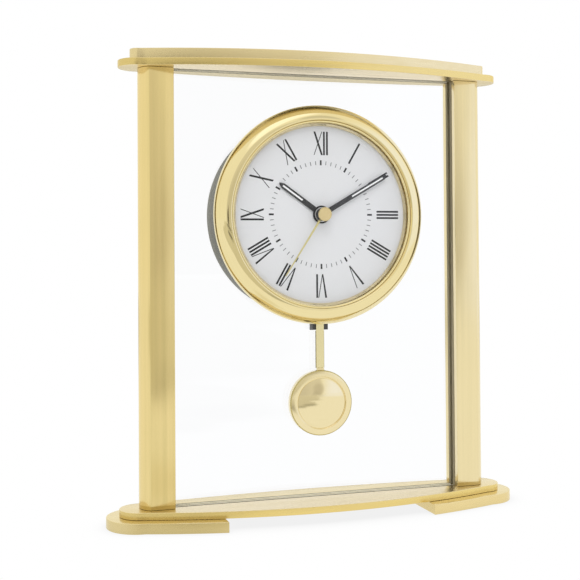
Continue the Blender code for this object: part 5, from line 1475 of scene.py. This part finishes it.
@dataclass(frozen=True)
class Dial:
    """The dial plate with its printed ticks and numerals."""

    sizes: DialSizes = DialSizes()

    NUMERALS = ("XII", "I", "II", "III", "IIII", "V", "VI", "VII", "VIII", "IX", "X", "XI")

    def build_plate(self) -> None:
        """The round plate with its middle hole."""
        s = self.sizes
        profile = [(s.radius - s.edge, s.front), (s.radius, s.front - s.edge), (s.radius, s.back), (s.hole, s.back),
                   (s.hole, s.front - s.edge), (s.hole + s.edge, s.front)]
        dress(turned("dial_disc", profile, steps=200), DIAL_WHITE, "clock", "dial_white", "dial_plate")

    def build_ticks(self) -> None:
        """Minute ticks and the heavier hour ticks, set round by one tree."""
        s = self.sizes
        centre = SITE.facing_point(SITE.head_x, SITE.head_z, 0)
        for name, inner, outer, width, count, leave_out, finish in (
                ("minute_ticks", s.minor_inner, s.minor_outer, s.minor_width, 60, 5, PRINT_GREY),
                ("hour_ticks", s.hour_inner, s.hour_outer, s.hour_width, 12, 0, PRINT_BLACK)):
            shape = bmesh.new()
            bmesh.ops.create_cube(shape, size=1)
            bmesh.ops.scale(shape, vec=Vector((width, s.print_height, outer - inner)) * MM, verts=shape.verts)
            place = Vector((0, -(s.front + s.print_height / 2), (inner + outer) / 2)) * MM
            bmesh.ops.translate(shape, vec=place, verts=shape.verts)
            ticks = RingOfCopies.spread(to_object(name, shape), count, finish, centre, leave_out)
            dress(ticks, finish, "clock", "hand_charcoal")

    def letter(self, letter: str) -> tuple[float, list[list[Point]]]:
        """One letter of a numeral, its left foot at 0.

        Args:
            letter: I, V or X.

        Returns:
            Its width and one outline for each stroke.
        """
        s = self.sizes
        tall, thick, thin = s.numeral_outer - s.numeral_inner, s.slant_thick, s.slant_thin
        if letter == "I":
            return s.thick, [rectangle((0, 0), (s.thick, tall))]
        if letter == "V":
            wide, foot = s.v_width, s.v_width * s.v_foot_share
            return wide, [[(0, tall), (thick, tall), (foot, 0), (foot - thick * s.v_point_share, 0)],
                          [(wide - thin, tall), (wide, tall), (foot, 0), (foot - thin, 0)]]
        wide, top, foot = s.x_width, s.x_width - s.x_top_inset, s.x_foot_inset
        return wide, [[(0, tall), (thick, tall), (wide, 0), (wide - thick, 0)],
                      [(top - thin, tall), (top, tall), (foot + thin, 0), (foot, 0)]]

    def strokes(self, text: str) -> list[list[Point]]:
        """Outlines of one numeral's strokes, standing on y 0 and centred on x 0.

        Args:
            text: The numeral.

        Returns:
            One outline for each stroke.
        """
        s = self.sizes
        shapes: list[list[Point]] = []
        cursor, previous = 0.0, ""
        for letter in text:
            if previous:
                cursor += s.bar_pitch - s.thick if previous == letter == "I" else s.joint_gap
            width, outlines = self.letter(letter)
            shapes += [[(cursor + x, y) for x, y in outline] for outline in outlines]
            cursor, previous = cursor + width, letter
        return [[(x - cursor / 2, y) for x, y in outline] for outline in shapes]

    def build_numerals(self) -> None:
        """The twelve numerals, their feet towards the middle."""
        s = self.sizes
        shape = bmesh.new()
        for hour, text in enumerate(self.NUMERALS):
            for layer, outline in enumerate(self.strokes(text)):
                places = [SITE.on_dial(30 * hour, s.numeral_inner + along, across) for across, along in outline]
                high = s.front + s.print_height - s.layer_step * (layer % 2)
                low_loop, high_loop = ([shape.verts.new(SITE.facing_point(*place, level)) for place in places]
                                       for level in (s.front, high))
                shape.faces.new(low_loop)
                shape.faces.new(high_loop)
                for i in range(len(places)):
                    j = (i + 1) % len(places)
                    shape.faces.new((low_loop[i], low_loop[j], high_loop[j], high_loop[i]))
        dress(to_object("numerals", shape), PRINT_BLACK, "clock", "hand_charcoal")

    def build(self) -> None:
        """Builds the dial."""
        self.build_plate()
        self.build_ticks()
        self.build_numerals()


@dataclass(frozen=True)
class HandSizes:
    """One hand's lengths, angle and levels."""

    name: str
    degrees: float
    length: float
    width: float
    hub_radius: float
    pipe_radius: float
    back: float
    thickness: float = 0.4
    rim: float = 0.85
    slot_start: float = 0.46
    slot_end: float = 0.965
    tip_share: float = 0.8
    edge: float = 0.06
    inlay_back: float = 0.08
    inlay_drop: float = 0.06
    inlay_over: float = 0.01


@dataclass(frozen=True)
class SecondsSizes:
    """Cap, stem and needle of the seconds hand."""

    degrees: float = 213.0
    stem_back: float = 9.9
    stem_radius: float = 2.85
    cap_low: float = 12.5
    cap_high: float = 13.4
    cap_radius: float = 3.25
    # distances from the cap's side and from its top, along its rounded corner
    cap_edge: tuple[Point, ...] = ((0.3, 0.0), (0.08, 0.1), (0.0, 0.35))
    needle: tuple[Point, ...] = ((2.0, -0.52), (34.0, -0.24), (34.0, 0.24), (2.0, 0.52))
    needle_back: float = 10.45
    needle_front: float = 10.75
    needle_edge: float = 0.06


@dataclass(frozen=True)
class Hands:
    """Hour, minute and seconds hands."""

    hour: HandSizes = HandSizes("hour", degrees=305.3, length=24.9, width=2.5, hub_radius=4.2, pipe_radius=3.0,
                                back=7.7)
    minute: HandSizes = HandSizes("minute", degrees=60.0, length=37.3, width=2.3, hub_radius=2.95,
                                  pipe_radius=2.2, back=8.8, rim=0.78)
    seconds: SecondsSizes = SecondsSizes()
    ring_sunk: float = 0.05
    ring_proud: float = 0.15

    # name, inner radius, outer radius, finish and slot
    RINGS = (("hour_ring", 3.45, 4.12, HUB_BLACK, "hand_charcoal"), ("hour_collar", 3.05, 3.40, RING_STEEL, "steel"))

    def build_blade(self, hand: HandSizes) -> None:
        """A baton hand with a round hub and a long slot, and the pale strip in the slot.

        Args:
            hand: The hand's sizes.
        """
        half, tip, over = hand.width / 2, hand.width * hand.tip_share, hand.inlay_over
        start = math.asin(half / hand.hub_radius)
        outline = arc((0, 0), hand.hub_radius, start, 2 * math.pi - start, count=64)
        outline += [(hand.length - tip, -half), (hand.length, -half / 3), (hand.length, half / 3),
                    (hand.length - tip, half)]
        slot_half = half - hand.rim
        near, far = hand.length * hand.slot_start, hand.length * hand.slot_end - tip / 2
        window = rectangle((near, -slot_half), (far, slot_half))
        strip = rectangle((near - over, -slot_half - over), (far + over, slot_half + over))
        *loops, strip = ([SITE.on_dial(hand.degrees, *point) for point in loop]
                         for loop in (outline, window, circle((0, 0), hand.pipe_radius, count=40), strip))
        front = hand.back + hand.thickness
        blade = prism(f"{hand.name}_blade", loops, hand.back, front, Plane.FACING, hand.edge, FINE_STEPS)
        dress(blade, CHARCOAL, hand.name, "hand_charcoal", f"{hand.name}_hand")
        inlay = prism(f"{hand.name}_inlay", [strip], hand.back + hand.inlay_back, front - hand.inlay_drop,
                      Plane.FACING)
        dress(inlay, INLAY_WHITE, hand.name, "dial_white")

    def build_collars(self) -> None:
        """The hour hub's black face and the silver ring beside the minute hub."""
        front = self.hour.back + self.hour.thickness
        for name, inner, outer, finish, slot in self.RINGS:
            ring = rectangle((inner, front - self.ring_sunk), (outer, front + self.ring_proud))
            dress(turned(name, ring[::-1], steps=96), finish, "hour", slot)

    def build_seconds(self) -> None:
        """The thin gilt hand, its dark stem and the cap that covers the hubs."""
        s = self.seconds
        cap = [(0, s.cap_high), *((s.cap_radius - inset, s.cap_high - drop) for inset, drop in s.cap_edge),
               (s.cap_radius, s.cap_low), (0, s.cap_low)]
        dress(turned("seconds_cap", cap, closed=False, steps=96), CAP_GILT, "seconds", "gilt_seconds", "seconds_hand")
        stem = [(0, s.cap_low), (s.stem_radius, s.cap_low), (s.stem_radius, s.stem_back), (0, s.stem_back)]
        dress(turned("seconds_stem", stem, closed=False, steps=72), CHARCOAL, "seconds", "hand_charcoal")
        needle = prism("seconds_needle", [[SITE.on_dial(s.degrees, *point) for point in s.needle]], s.needle_back,
                       s.needle_front, Plane.FACING, s.needle_edge, FINE_STEPS)
        dress(needle, NEEDLE_GILT, "seconds", "gilt_seconds")

    def build(self) -> None:
        """Builds the three hands."""
        self.build_blade(self.hour)
        self.build_blade(self.minute)
        self.build_collars()
        self.build_seconds()


@dataclass(frozen=True)
class Strip:
    """An upright strip of the pendulum: its sides, ends, forward heights and edge."""

    left: float
    right: float
    low: float
    high: float
    back: float
    front: float
    edge: float = 0.0

    def built(self, name: str, *holes: Sequence[Point]) -> bpy.types.Object:
        """The strip as a piece, with holes."""
        outline = rectangle((self.left, self.low), (self.right, self.high))
        return prism(name, [outline, *holes], self.back, self.front, Plane.FACING, self.edge, FINE_STEPS)


@dataclass(frozen=True)
class PendulumSizes:
    """Hanger, rod and bob."""

    pivot_z: float = 125.7
    pivot_eye: float = 1.2
    hanger_half: float = 4.35
    hanger_bottom: float = 86.0
    hanger_back: float = 2.5
    hanger_front: float = 3.7
    hanger_edge: float = 0.12
    # each strip: left, right, low, high, back, front and, where it is softened, the edge
    cheek: Strip = Strip(-4.4, -3.25, 86.05, 92.0, 2.4, 3.85, 0.1)
    peg_z: float = 93.7
    peg_radius: float = 0.9
    peg_front: float = 4.7
    peg_back: float = 3.1
    peg_edge: float = 0.1
    peg_eye: float = 1.1
    rod: Strip = Strip(-1.9, 1.9, 68.2, 96.2, 4.0, 4.8, 0.1)
    core: Strip = Strip(-1.6, 1.6, 59.14, 69.04, 4.05, 4.45)
    # dark strip just wider than the rod: painted shade along its sides
    rod_side_shade: Strip = Strip(-2.1, 2.1, 68.2, 85.6, 4.02, 4.5)
    tab: Strip = Strip(-1.9, 1.9, 59.54, 68.04, 4.47, 4.9, 0.08)
    slot: Strip = Strip(-2.2, 2.2, 58.84, 69.14, 3.7, 5.1)
    bob_radius: float = 15.24
    bob_back: float = 2.5
    bob_thickness: float = 3.6
    rim_width: float = 3.1
    rim_edge: float = 0.4
    step_width: float = 0.8
    step_depth: float = 0.5
    # distances from the rim's inner edge and from the step, across the step's groove
    step_bends: tuple[Point, ...] = ((-0.25, -0.3), (-0.1, 0.0), (0.1, 0.1))
    rim_inset: float = 0.2
    dome_rise: float = 1.1
    dome_inset: float = 0.08
    edge_proud: float = 0.015
    edge_depth: float = 0.15
    edge_lap: float = 0.05


@dataclass(frozen=True)
class Pendulum:
    """The swinging hanger, rod and bob."""

    sizes: PendulumSizes = PendulumSizes()

    def build_hanger(self) -> None:
        """The dark strip that hangs on the pivot pin, with its round top and peg, and a paler grey cheek that paints
        light on its left side.
        """
        s = self.sizes
        outline = arc((0, s.pivot_z), s.hanger_half, 0, math.pi, count=40)
        outline += [(-s.hanger_half, s.hanger_bottom), (s.hanger_half, s.hanger_bottom)]
        eye = circle((0, s.pivot_z), s.pivot_eye, count=32)
        hanger = prism("hanger_strip", [outline, eye], s.hanger_back, s.hanger_front, Plane.FACING,
                       s.hanger_edge, FINE_STEPS)
        profile = [(0, s.peg_front), (s.peg_radius - s.peg_edge, s.peg_front),
                   (s.peg_radius, s.peg_front - s.peg_edge), (s.peg_radius, s.peg_back), (0, s.peg_back)]
        peg = turned("peg", profile, closed=False, steps=32, centre=(0, s.peg_z))
        combined(hanger, [peg], Change.JOIN, SHARP_TURNED)
        dress(hanger, HANGER_PLASTIC, "pendulum", "black_plastic", "pendulum_hanger")
        # the cheek paints light on the hanger's left side
        dress(s.cheek.built("hanger_cheek"), SIDE_LIGHT_GREY, "pendulum", "grey_plastic")

    def build_rod(self) -> None:
        """The flat rod with the eye for its peg, its core, a dark strip that paints shade along its sides, and the
        bob's tab.
        """
        s = self.sizes
        rod = s.rod.built("rod_strip", circle((0, s.peg_z), s.peg_eye, count=28))
        dress(rod, ROD_BRASS, "pendulum", "pale_brass", "pendulum_rod")
        for name, strip, finish in (("rod_core", s.core, ROD_BRASS), ("rod_side_shade", s.rod_side_shade, EDGE_BRASS),
                                    ("bob_tab", s.tab, BOB_BRASS)):
            dress(strip.built(name), finish, "pendulum", "pale_brass")

    def build_bob(self) -> None:
        """The round bob with its flat rim, small step, shallow dome and thin edge ring."""
        s = self.sizes
        front, radius, edge = s.bob_back + s.bob_thickness, s.bob_radius, s.rim_edge
        inner, step, shoulder = radius - s.rim_width, front - s.step_depth, (radius - edge, front)
        middle_radius = inner - s.step_width
        bends = [(inner + across, step + along) for across, along in s.step_bends]
        profile = [*dome(middle_radius, step, s.dome_rise, count=16), (middle_radius + s.dome_inset, bends[0][1]),
                   *bends, (inner + s.rim_inset, front), shoulder,
                   *quarter(shoulder, (radius, front - edge), True)]
        corner = (radius, s.bob_back + edge)
        profile += [corner, *quarter(corner, (radius - edge, s.bob_back), False), (0, s.bob_back)]
        bob = turned("bob_disc", profile, closed=False, steps=160, centre=BOB_CENTRE)
        combined(bob, [s.slot.built("slot")], Change.CUT, SHARP_TURNED)
        dress(bob, BOB_BRASS, "pendulum", "pale_brass", "pendulum_bob")
        outer, low, lap = radius + s.edge_proud, front - edge - s.edge_depth, radius - edge - s.edge_lap
        start = (radius - edge, front + s.edge_proud)
        ring = [(lap, start[1]), start, *quarter(start, (outer, front - edge), True), (outer, low),
                (radius - s.edge_depth, low), (lap, front - s.edge_depth)]
        dress(turned("bob_edge", ring, steps=160, centre=BOB_CENTRE), BOB_EDGE_BRASS, "pendulum", "pale_brass")

    def build(self) -> None:
        """Builds the pendulum."""
        self.build_hanger()
        self.build_rod()
        self.build_bob()


@dataclass(frozen=True)
class KnobSizes:
    """Grip, ribs, stem and bore of the setting knob."""

    ribs: int = 16
    rib_depth: float = 0.4
    rib_radius: float = 0.6
    rib_short: float = 0.5
    stem_length: float = 1.0
    stem_radius: float = 2.0
    bore_radius: float = 0.9
    bore_depth: float = 0.2
    back_edge: float = 0.4
    front_edge: float = 0.3


@dataclass(frozen=True)
class Movement:
    """Finishes of the works inside the head and of the hidden fasteners, and the setting knob."""

    knob: KnobSizes = KnobSizes()

    FINISHES = (
        (BRIGHT_STEEL, ("left_tie_bolt", "right_tie_bolt", "left_foot_screw", "right_foot_screw",
                        "left_movement_screw", "right_movement_screw", "pivot_pin", "minute_pipe", "rotor",
                        "pendulum_magnet", "quartz_crystal")),
        (SHEET_STEEL, ("stator", "negative_contact", "positive_contact")),
        (ROD_BRASS, ("centre_bush",)),
        (BLACK_PLASTIC, ("movement_case", "movement_lid")),
        (WHITE_PLASTIC, ("train_plate", "hour_wheel", "minute_work_wheel", "seconds_wheel", "third_wheel",
                         "centre_wheel", "intermediate_wheel")),
        (WOUND_COPPER, ("motor_coil", "pendulum_coil")),
        (BOARD_GREEN, ("circuit_board",)),
        (CELL_JACKET, ("battery",)),
    )

    def dress_nodes(self) -> None:
        """Gives each carried-over node its finish."""
        for finish, names in self.FINISHES:
            for name in names:
                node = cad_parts[name]
                if not node.material_slots:
                    node.data.materials.append(finish.material())
                for slot in node.material_slots:
                    slot.material = finish.material()
                LOG.info("%s: %s", name, finish.name)

    def build_knob(self) -> None:
        """The setting knob at the back, its ribs set round by the same tree as the ticks."""
        s = self.knob
        low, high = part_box("setting_knob")
        (x, z), radius = middle("setting_knob"), (high.x - low.x) / MM / 2
        front, back = SITE.forward("setting_knob")
        grip, root, floor = front - s.stem_length, radius - s.rib_depth, front - s.stem_length - s.bore_depth
        profile = [(0, back), (root - s.back_edge, back), (root, back + s.back_edge), (root, grip - s.front_edge),
                   (root - s.front_edge, grip), (s.stem_radius, grip), (s.stem_radius, front),
                   (s.bore_radius, front), (s.bore_radius, floor), (0, floor)]
        knob = turned("knob_body", profile, closed=False, steps=96, centre=(x, z))
        shape = bmesh.new()
        thickness = s.rib_radius * MM
        bmesh.ops.create_cone(shape, cap_ends=True, segments=24, radius1=thickness, radius2=thickness,
                              depth=(grip - back - s.rib_short) * MM)
        bmesh.ops.rotate(shape, verts=shape.verts, cent=(0, 0, 0), matrix=Matrix.Rotation(math.pi / 2, 3, "X"))
        place = Vector((0, -(grip + back) / 2, radius - s.rib_radius)) * MM
        bmesh.ops.translate(shape, vec=place, verts=shape.verts)
        ribs = RingOfCopies.spread(to_object("knob_ribs", shape), s.ribs, BLACK_PLASTIC, SITE.facing_point(x, z, 0))
        dress(combined(knob, [ribs], Change.JOIN), BLACK_PLASTIC, "minute_work", "black_plastic", "setting_knob")

    def build(self) -> None:
        """Dresses the works and builds the knob."""
        self.dress_nodes()
        self.build_knob()


def towards(azimuth: float, elevation: float) -> Vector:
    """Unit direction in degrees; azimuth 0 is straight in front and grows to the viewer's right."""
    across, up = math.radians(azimuth), math.radians(elevation)
    return Vector((math.sin(across) * math.cos(up), -math.cos(across) * math.cos(up), math.sin(up)))


@dataclass(frozen=True)
class Patch:
    """A soft-edged part of the room's light, seen from the clock."""

    azimuth: float
    elevation: float
    spread: float
    softness: float
    light: float
    tint: Colour = WHITE


@dataclass(frozen=True)
class FloorShade:
    """A round of the studio floor with a painted tone of light and shade that only the brass mirrors, in metres."""

    x: float
    y: float
    inner: float
    outer: float
    light: float
    tint: Colour = (1.0, 0.96, 0.80)


@dataclass(frozen=True)
class SoftBox:
    """A square lamp aimed at the dial, in degrees, metres and watts."""

    name: str = "soft_ceiling"
    azimuth: float = -12
    elevation: float = 48
    distance: float = 1.8
    size: float = 1.2
    power: float = 9.0


@dataclass(frozen=True)
class CameraPlace:
    """Where the photograph was taken from."""

    place: tuple[float, float, float] = (-158.83, -467.70, 121.43)
    yaw: float = 17.1389
    pitch: float = 1.0290
    roll: float = -0.3773
    lens: float = 64.28
    sensor: float = 36.0
    shift_x: float = 0.00667
    shift_y: float = -0.0927


@dataclass(frozen=True)
class Studio:
    """Floor, room light, lamp and camera."""

    lamp: SoftBox = SoftBox()
    view: CameraPlace = CameraPlace()

    FLOOR_SIZE = 6.0
    CONTACT_REACH = 0.022
    CONTACT_SAMPLES = 24
    CONTACT_RANGE = (0.25, 0.97)
    CONTACT_LIGHT = (0.87, 1.0)
    MARK_SCALE = 3.0
    MARK_SHARE = 0.02
    MARK_COLOUR = (0.99, 0.99, 0.99)
    ROOM_COLOUR = (1.0, 0.975, 0.85)
    FLOOR_COLOUR = (1.0, 0.985, 0.90)
    # azimuth, elevation, spread, softness and light of each patch, in degrees and shares, and its tint
    PATCHES = (
        Patch(57, 0, 26, 14, 1.04, (1.0, 1.04, 1.20)),
        Patch(-6, 52, 14, 10, 1.3),
        Patch(-4, 6, 22, 4, 0.79, (1.0, 0.96, 0.84)),
        Patch(-8, 3, 5, 14, 0.70, (1.0, 0.96, 0.84)),
        Patch(16, 5, 1.5, 5.5, 0.66, (1.0, 0.95, 0.82)),
        Patch(14, -1, 1.5, 4.5, 0.62, (1.0, 0.95, 0.82)),
        Patch(21, 29, 4, 4, 0.72, (1.0, 0.97, 0.88)),
        Patch(-17.5, 0.5, 2.6, 2.5, 0.10, (1.0, 0.9, 0.6)),
    )
    # x, y, inner radius, outer radius and light of each round, and its tint
    FLOOR_SHADES = (
        FloorShade(-0.60, -3.20, 2.00, 2.30, 0.76),
        FloorShade(-0.50, -1.10, 0.78, 0.82, 0.74),
        FloorShade(-0.07, -0.40, 0.145, 0.165, 0.73),
        FloorShade(0.035, -0.32, 0.02, 0.06, 0.48),
        FloorShade(-0.015, -0.265, 0.012, 0.04, 0.52),
        FloorShade(-0.46, -1.30, 0.18, 0.30, 0.14),
        FloorShade(-1.00, -3.00, 0.55, 0.95, 0.14),
        FloorShade(-0.065, -0.06, 0.012, 0.045, 0.90),
        FloorShade(0.12, -0.62, 0.03, 0.13, 0.68),
        FloorShade(3.13, -1.45, 2.30, 2.75, 1.03, (1.0, 1.03, 1.14)),
        FloorShade(0.35, 1.70, 1.10, 1.40, 0.76),
    )

    def build_floor(self) -> None:
        """A wide pale glowing floor with a painted contact shadow only where the feet touch it, and painted tones
        that only the brass mirrors.
        """
        shape = bmesh.new()
        bmesh.ops.create_grid(shape, x_segments=1, y_segments=1, size=self.FLOOR_SIZE)
        floor = to_object("studio_floor", shape)
        box = Paintbox("studio_floor_white")
        tree = box.tree
        # painted contact shadow, from ambient occlusion
        shade = tree.add("ShaderNodeAmbientOcclusion", samples=self.CONTACT_SAMPLES)
        shade.inputs["Distance"].default_value = self.CONTACT_REACH
        level = tree.spread(shade.outputs["AO"], *self.CONTACT_RANGE, *self.CONTACT_LIGHT)
        marks = box.effect(Effects.handling(), Scale=self.MARK_SCALE)["Patches"]
        seen = tree.blend(tree.math("MULTIPLY", marks, self.MARK_SHARE), WHITE, self.MARK_COLOUR)
        mirrored: object = self.FLOOR_COLOUR
        for spot in self.FLOOR_SHADES:
            distance = tree.vector("LENGTH", tree.vector("SUBTRACT", box.position, (spot.x, spot.y, 0.0)))
            mask = tree.spread(distance, spot.outer, spot.inner, smooth=True)
            mirrored = tree.blend(mask, mirrored, tuple(c * spot.light for c in spot.tint))
        path = tree.add("ShaderNodeLightPath").outputs
        through = tree.math("SUBTRACT", 1.0, path["Is Transmission Ray"])
        toned = tree.blend(tree.math("MULTIPLY", path["Is Glossy Ray"], through), seen, mirrored)
        light = tree.fill(tree.add("ShaderNodeEmission"), toned, level)
        tree.join(light, box.output.inputs["Surface"])
        floor.data.materials.append(box.material)
        LOG.info("floor built")

    def build_room(self) -> None:
        """Room light made of soft patches; the camera and the glass see plain white."""
        world = bpy.data.worlds.new("studio_room")
        bpy.context.scene.world = world
        world.use_nodes = True
        world.node_tree.nodes.clear()
        tree = Tree(world.node_tree)
        direction = tree.add("ShaderNodeTexCoord").outputs["Generated"]
        colour: object = self.ROOM_COLOUR
        for patch in self.PATCHES:
            near = tree.vector("DOT_PRODUCT", direction, tuple(towards(patch.azimuth, patch.elevation)))
            outer, inner = (math.cos(math.radians(angle)) for angle in (patch.spread + patch.softness, patch.spread))
            mask = tree.spread(near, outer, inner, smooth=True)
            colour = tree.blend(mask, colour, tuple(c * patch.light for c in patch.tint))
        room, plain = (tree.fill(tree.add("ShaderNodeBackground"), shown) for shown in (colour, (*WHITE, 1.0)))
        path = tree.add("ShaderNodeLightPath").outputs
        seen = tree.math("MAXIMUM", path["Is Camera Ray"], path["Is Transmission Ray"])
        mixed = tree.fill(tree.add("ShaderNodeMixShader"), seen, room, plain)
        tree.join(mixed, tree.add("ShaderNodeOutputWorld").inputs["Surface"])
        LOG.info("room light built from %d patches", len(self.PATCHES))

    def build_lamp(self) -> None:
        """The soft box aimed at the dial."""
        box = self.lamp
        data = bpy.data.lights.new(box.name, "AREA")
        data.shape = "RECTANGLE"
        data.size = data.size_y = box.size
        data.energy = box.power
        lamp = bpy.data.objects.new(box.name, data)
        lamp.visible_glossy = lamp.visible_transmission = False
        direction = towards(box.azimuth, box.elevation)
        place = Vector((0, 0, SITE.head_z * MM)) + direction * box.distance
        lamp.matrix_world = Matrix.Translation(place) @ direction.to_track_quat("Z", "Y").to_matrix().to_4x4()
        bpy.context.scene.collection.objects.link(lamp)
        LOG.info("%s built", box.name)

    def build_camera(self) -> None:
        """The camera at the photograph's own place."""
        view = self.view
        yaw, pitch, roll = (math.radians(v) for v in (view.yaw, view.pitch, view.roll))
        ahead = Vector((math.sin(yaw) * math.cos(pitch), math.cos(yaw) * math.cos(pitch), math.sin(pitch)))
        right = Vector((math.cos(yaw), -math.sin(yaw), 0))
        up = right.cross(ahead)
        across = right * math.cos(roll) + up * math.sin(roll)
        upward = up * math.cos(roll) - right * math.sin(roll)
        data = bpy.data.cameras.new("photo_camera")
        data.lens, data.sensor_width = view.lens, view.sensor
        data.shift_x, data.shift_y = view.shift_x, view.shift_y
        data.clip_start = 0.01
        camera = bpy.data.objects.new("photo_camera", data)
        matrix = Matrix((across, upward, -ahead)).transposed().to_4x4()
        matrix.translation = Vector(view.place) * MM
        camera.matrix_world = matrix
        bpy.context.scene.collection.objects.link(camera)
        bpy.context.scene.camera = camera

    def build(self) -> None:
        """Sets up the picture."""
        bpy.context.scene.view_settings.view_transform = "Standard"
        self.build_floor()
        self.build_room()
        self.build_lamp()
        self.build_camera()


def main() -> None:
    """Builds every piece and the picture."""
    logging.basicConfig(level=logging.INFO, format="%(message)s")
    for part in (Stand(), ClockHead(), Dial(), Hands(), Pendulum(), Movement(), Studio()):
        part.build()


if __name__ == "__main__":
    main()
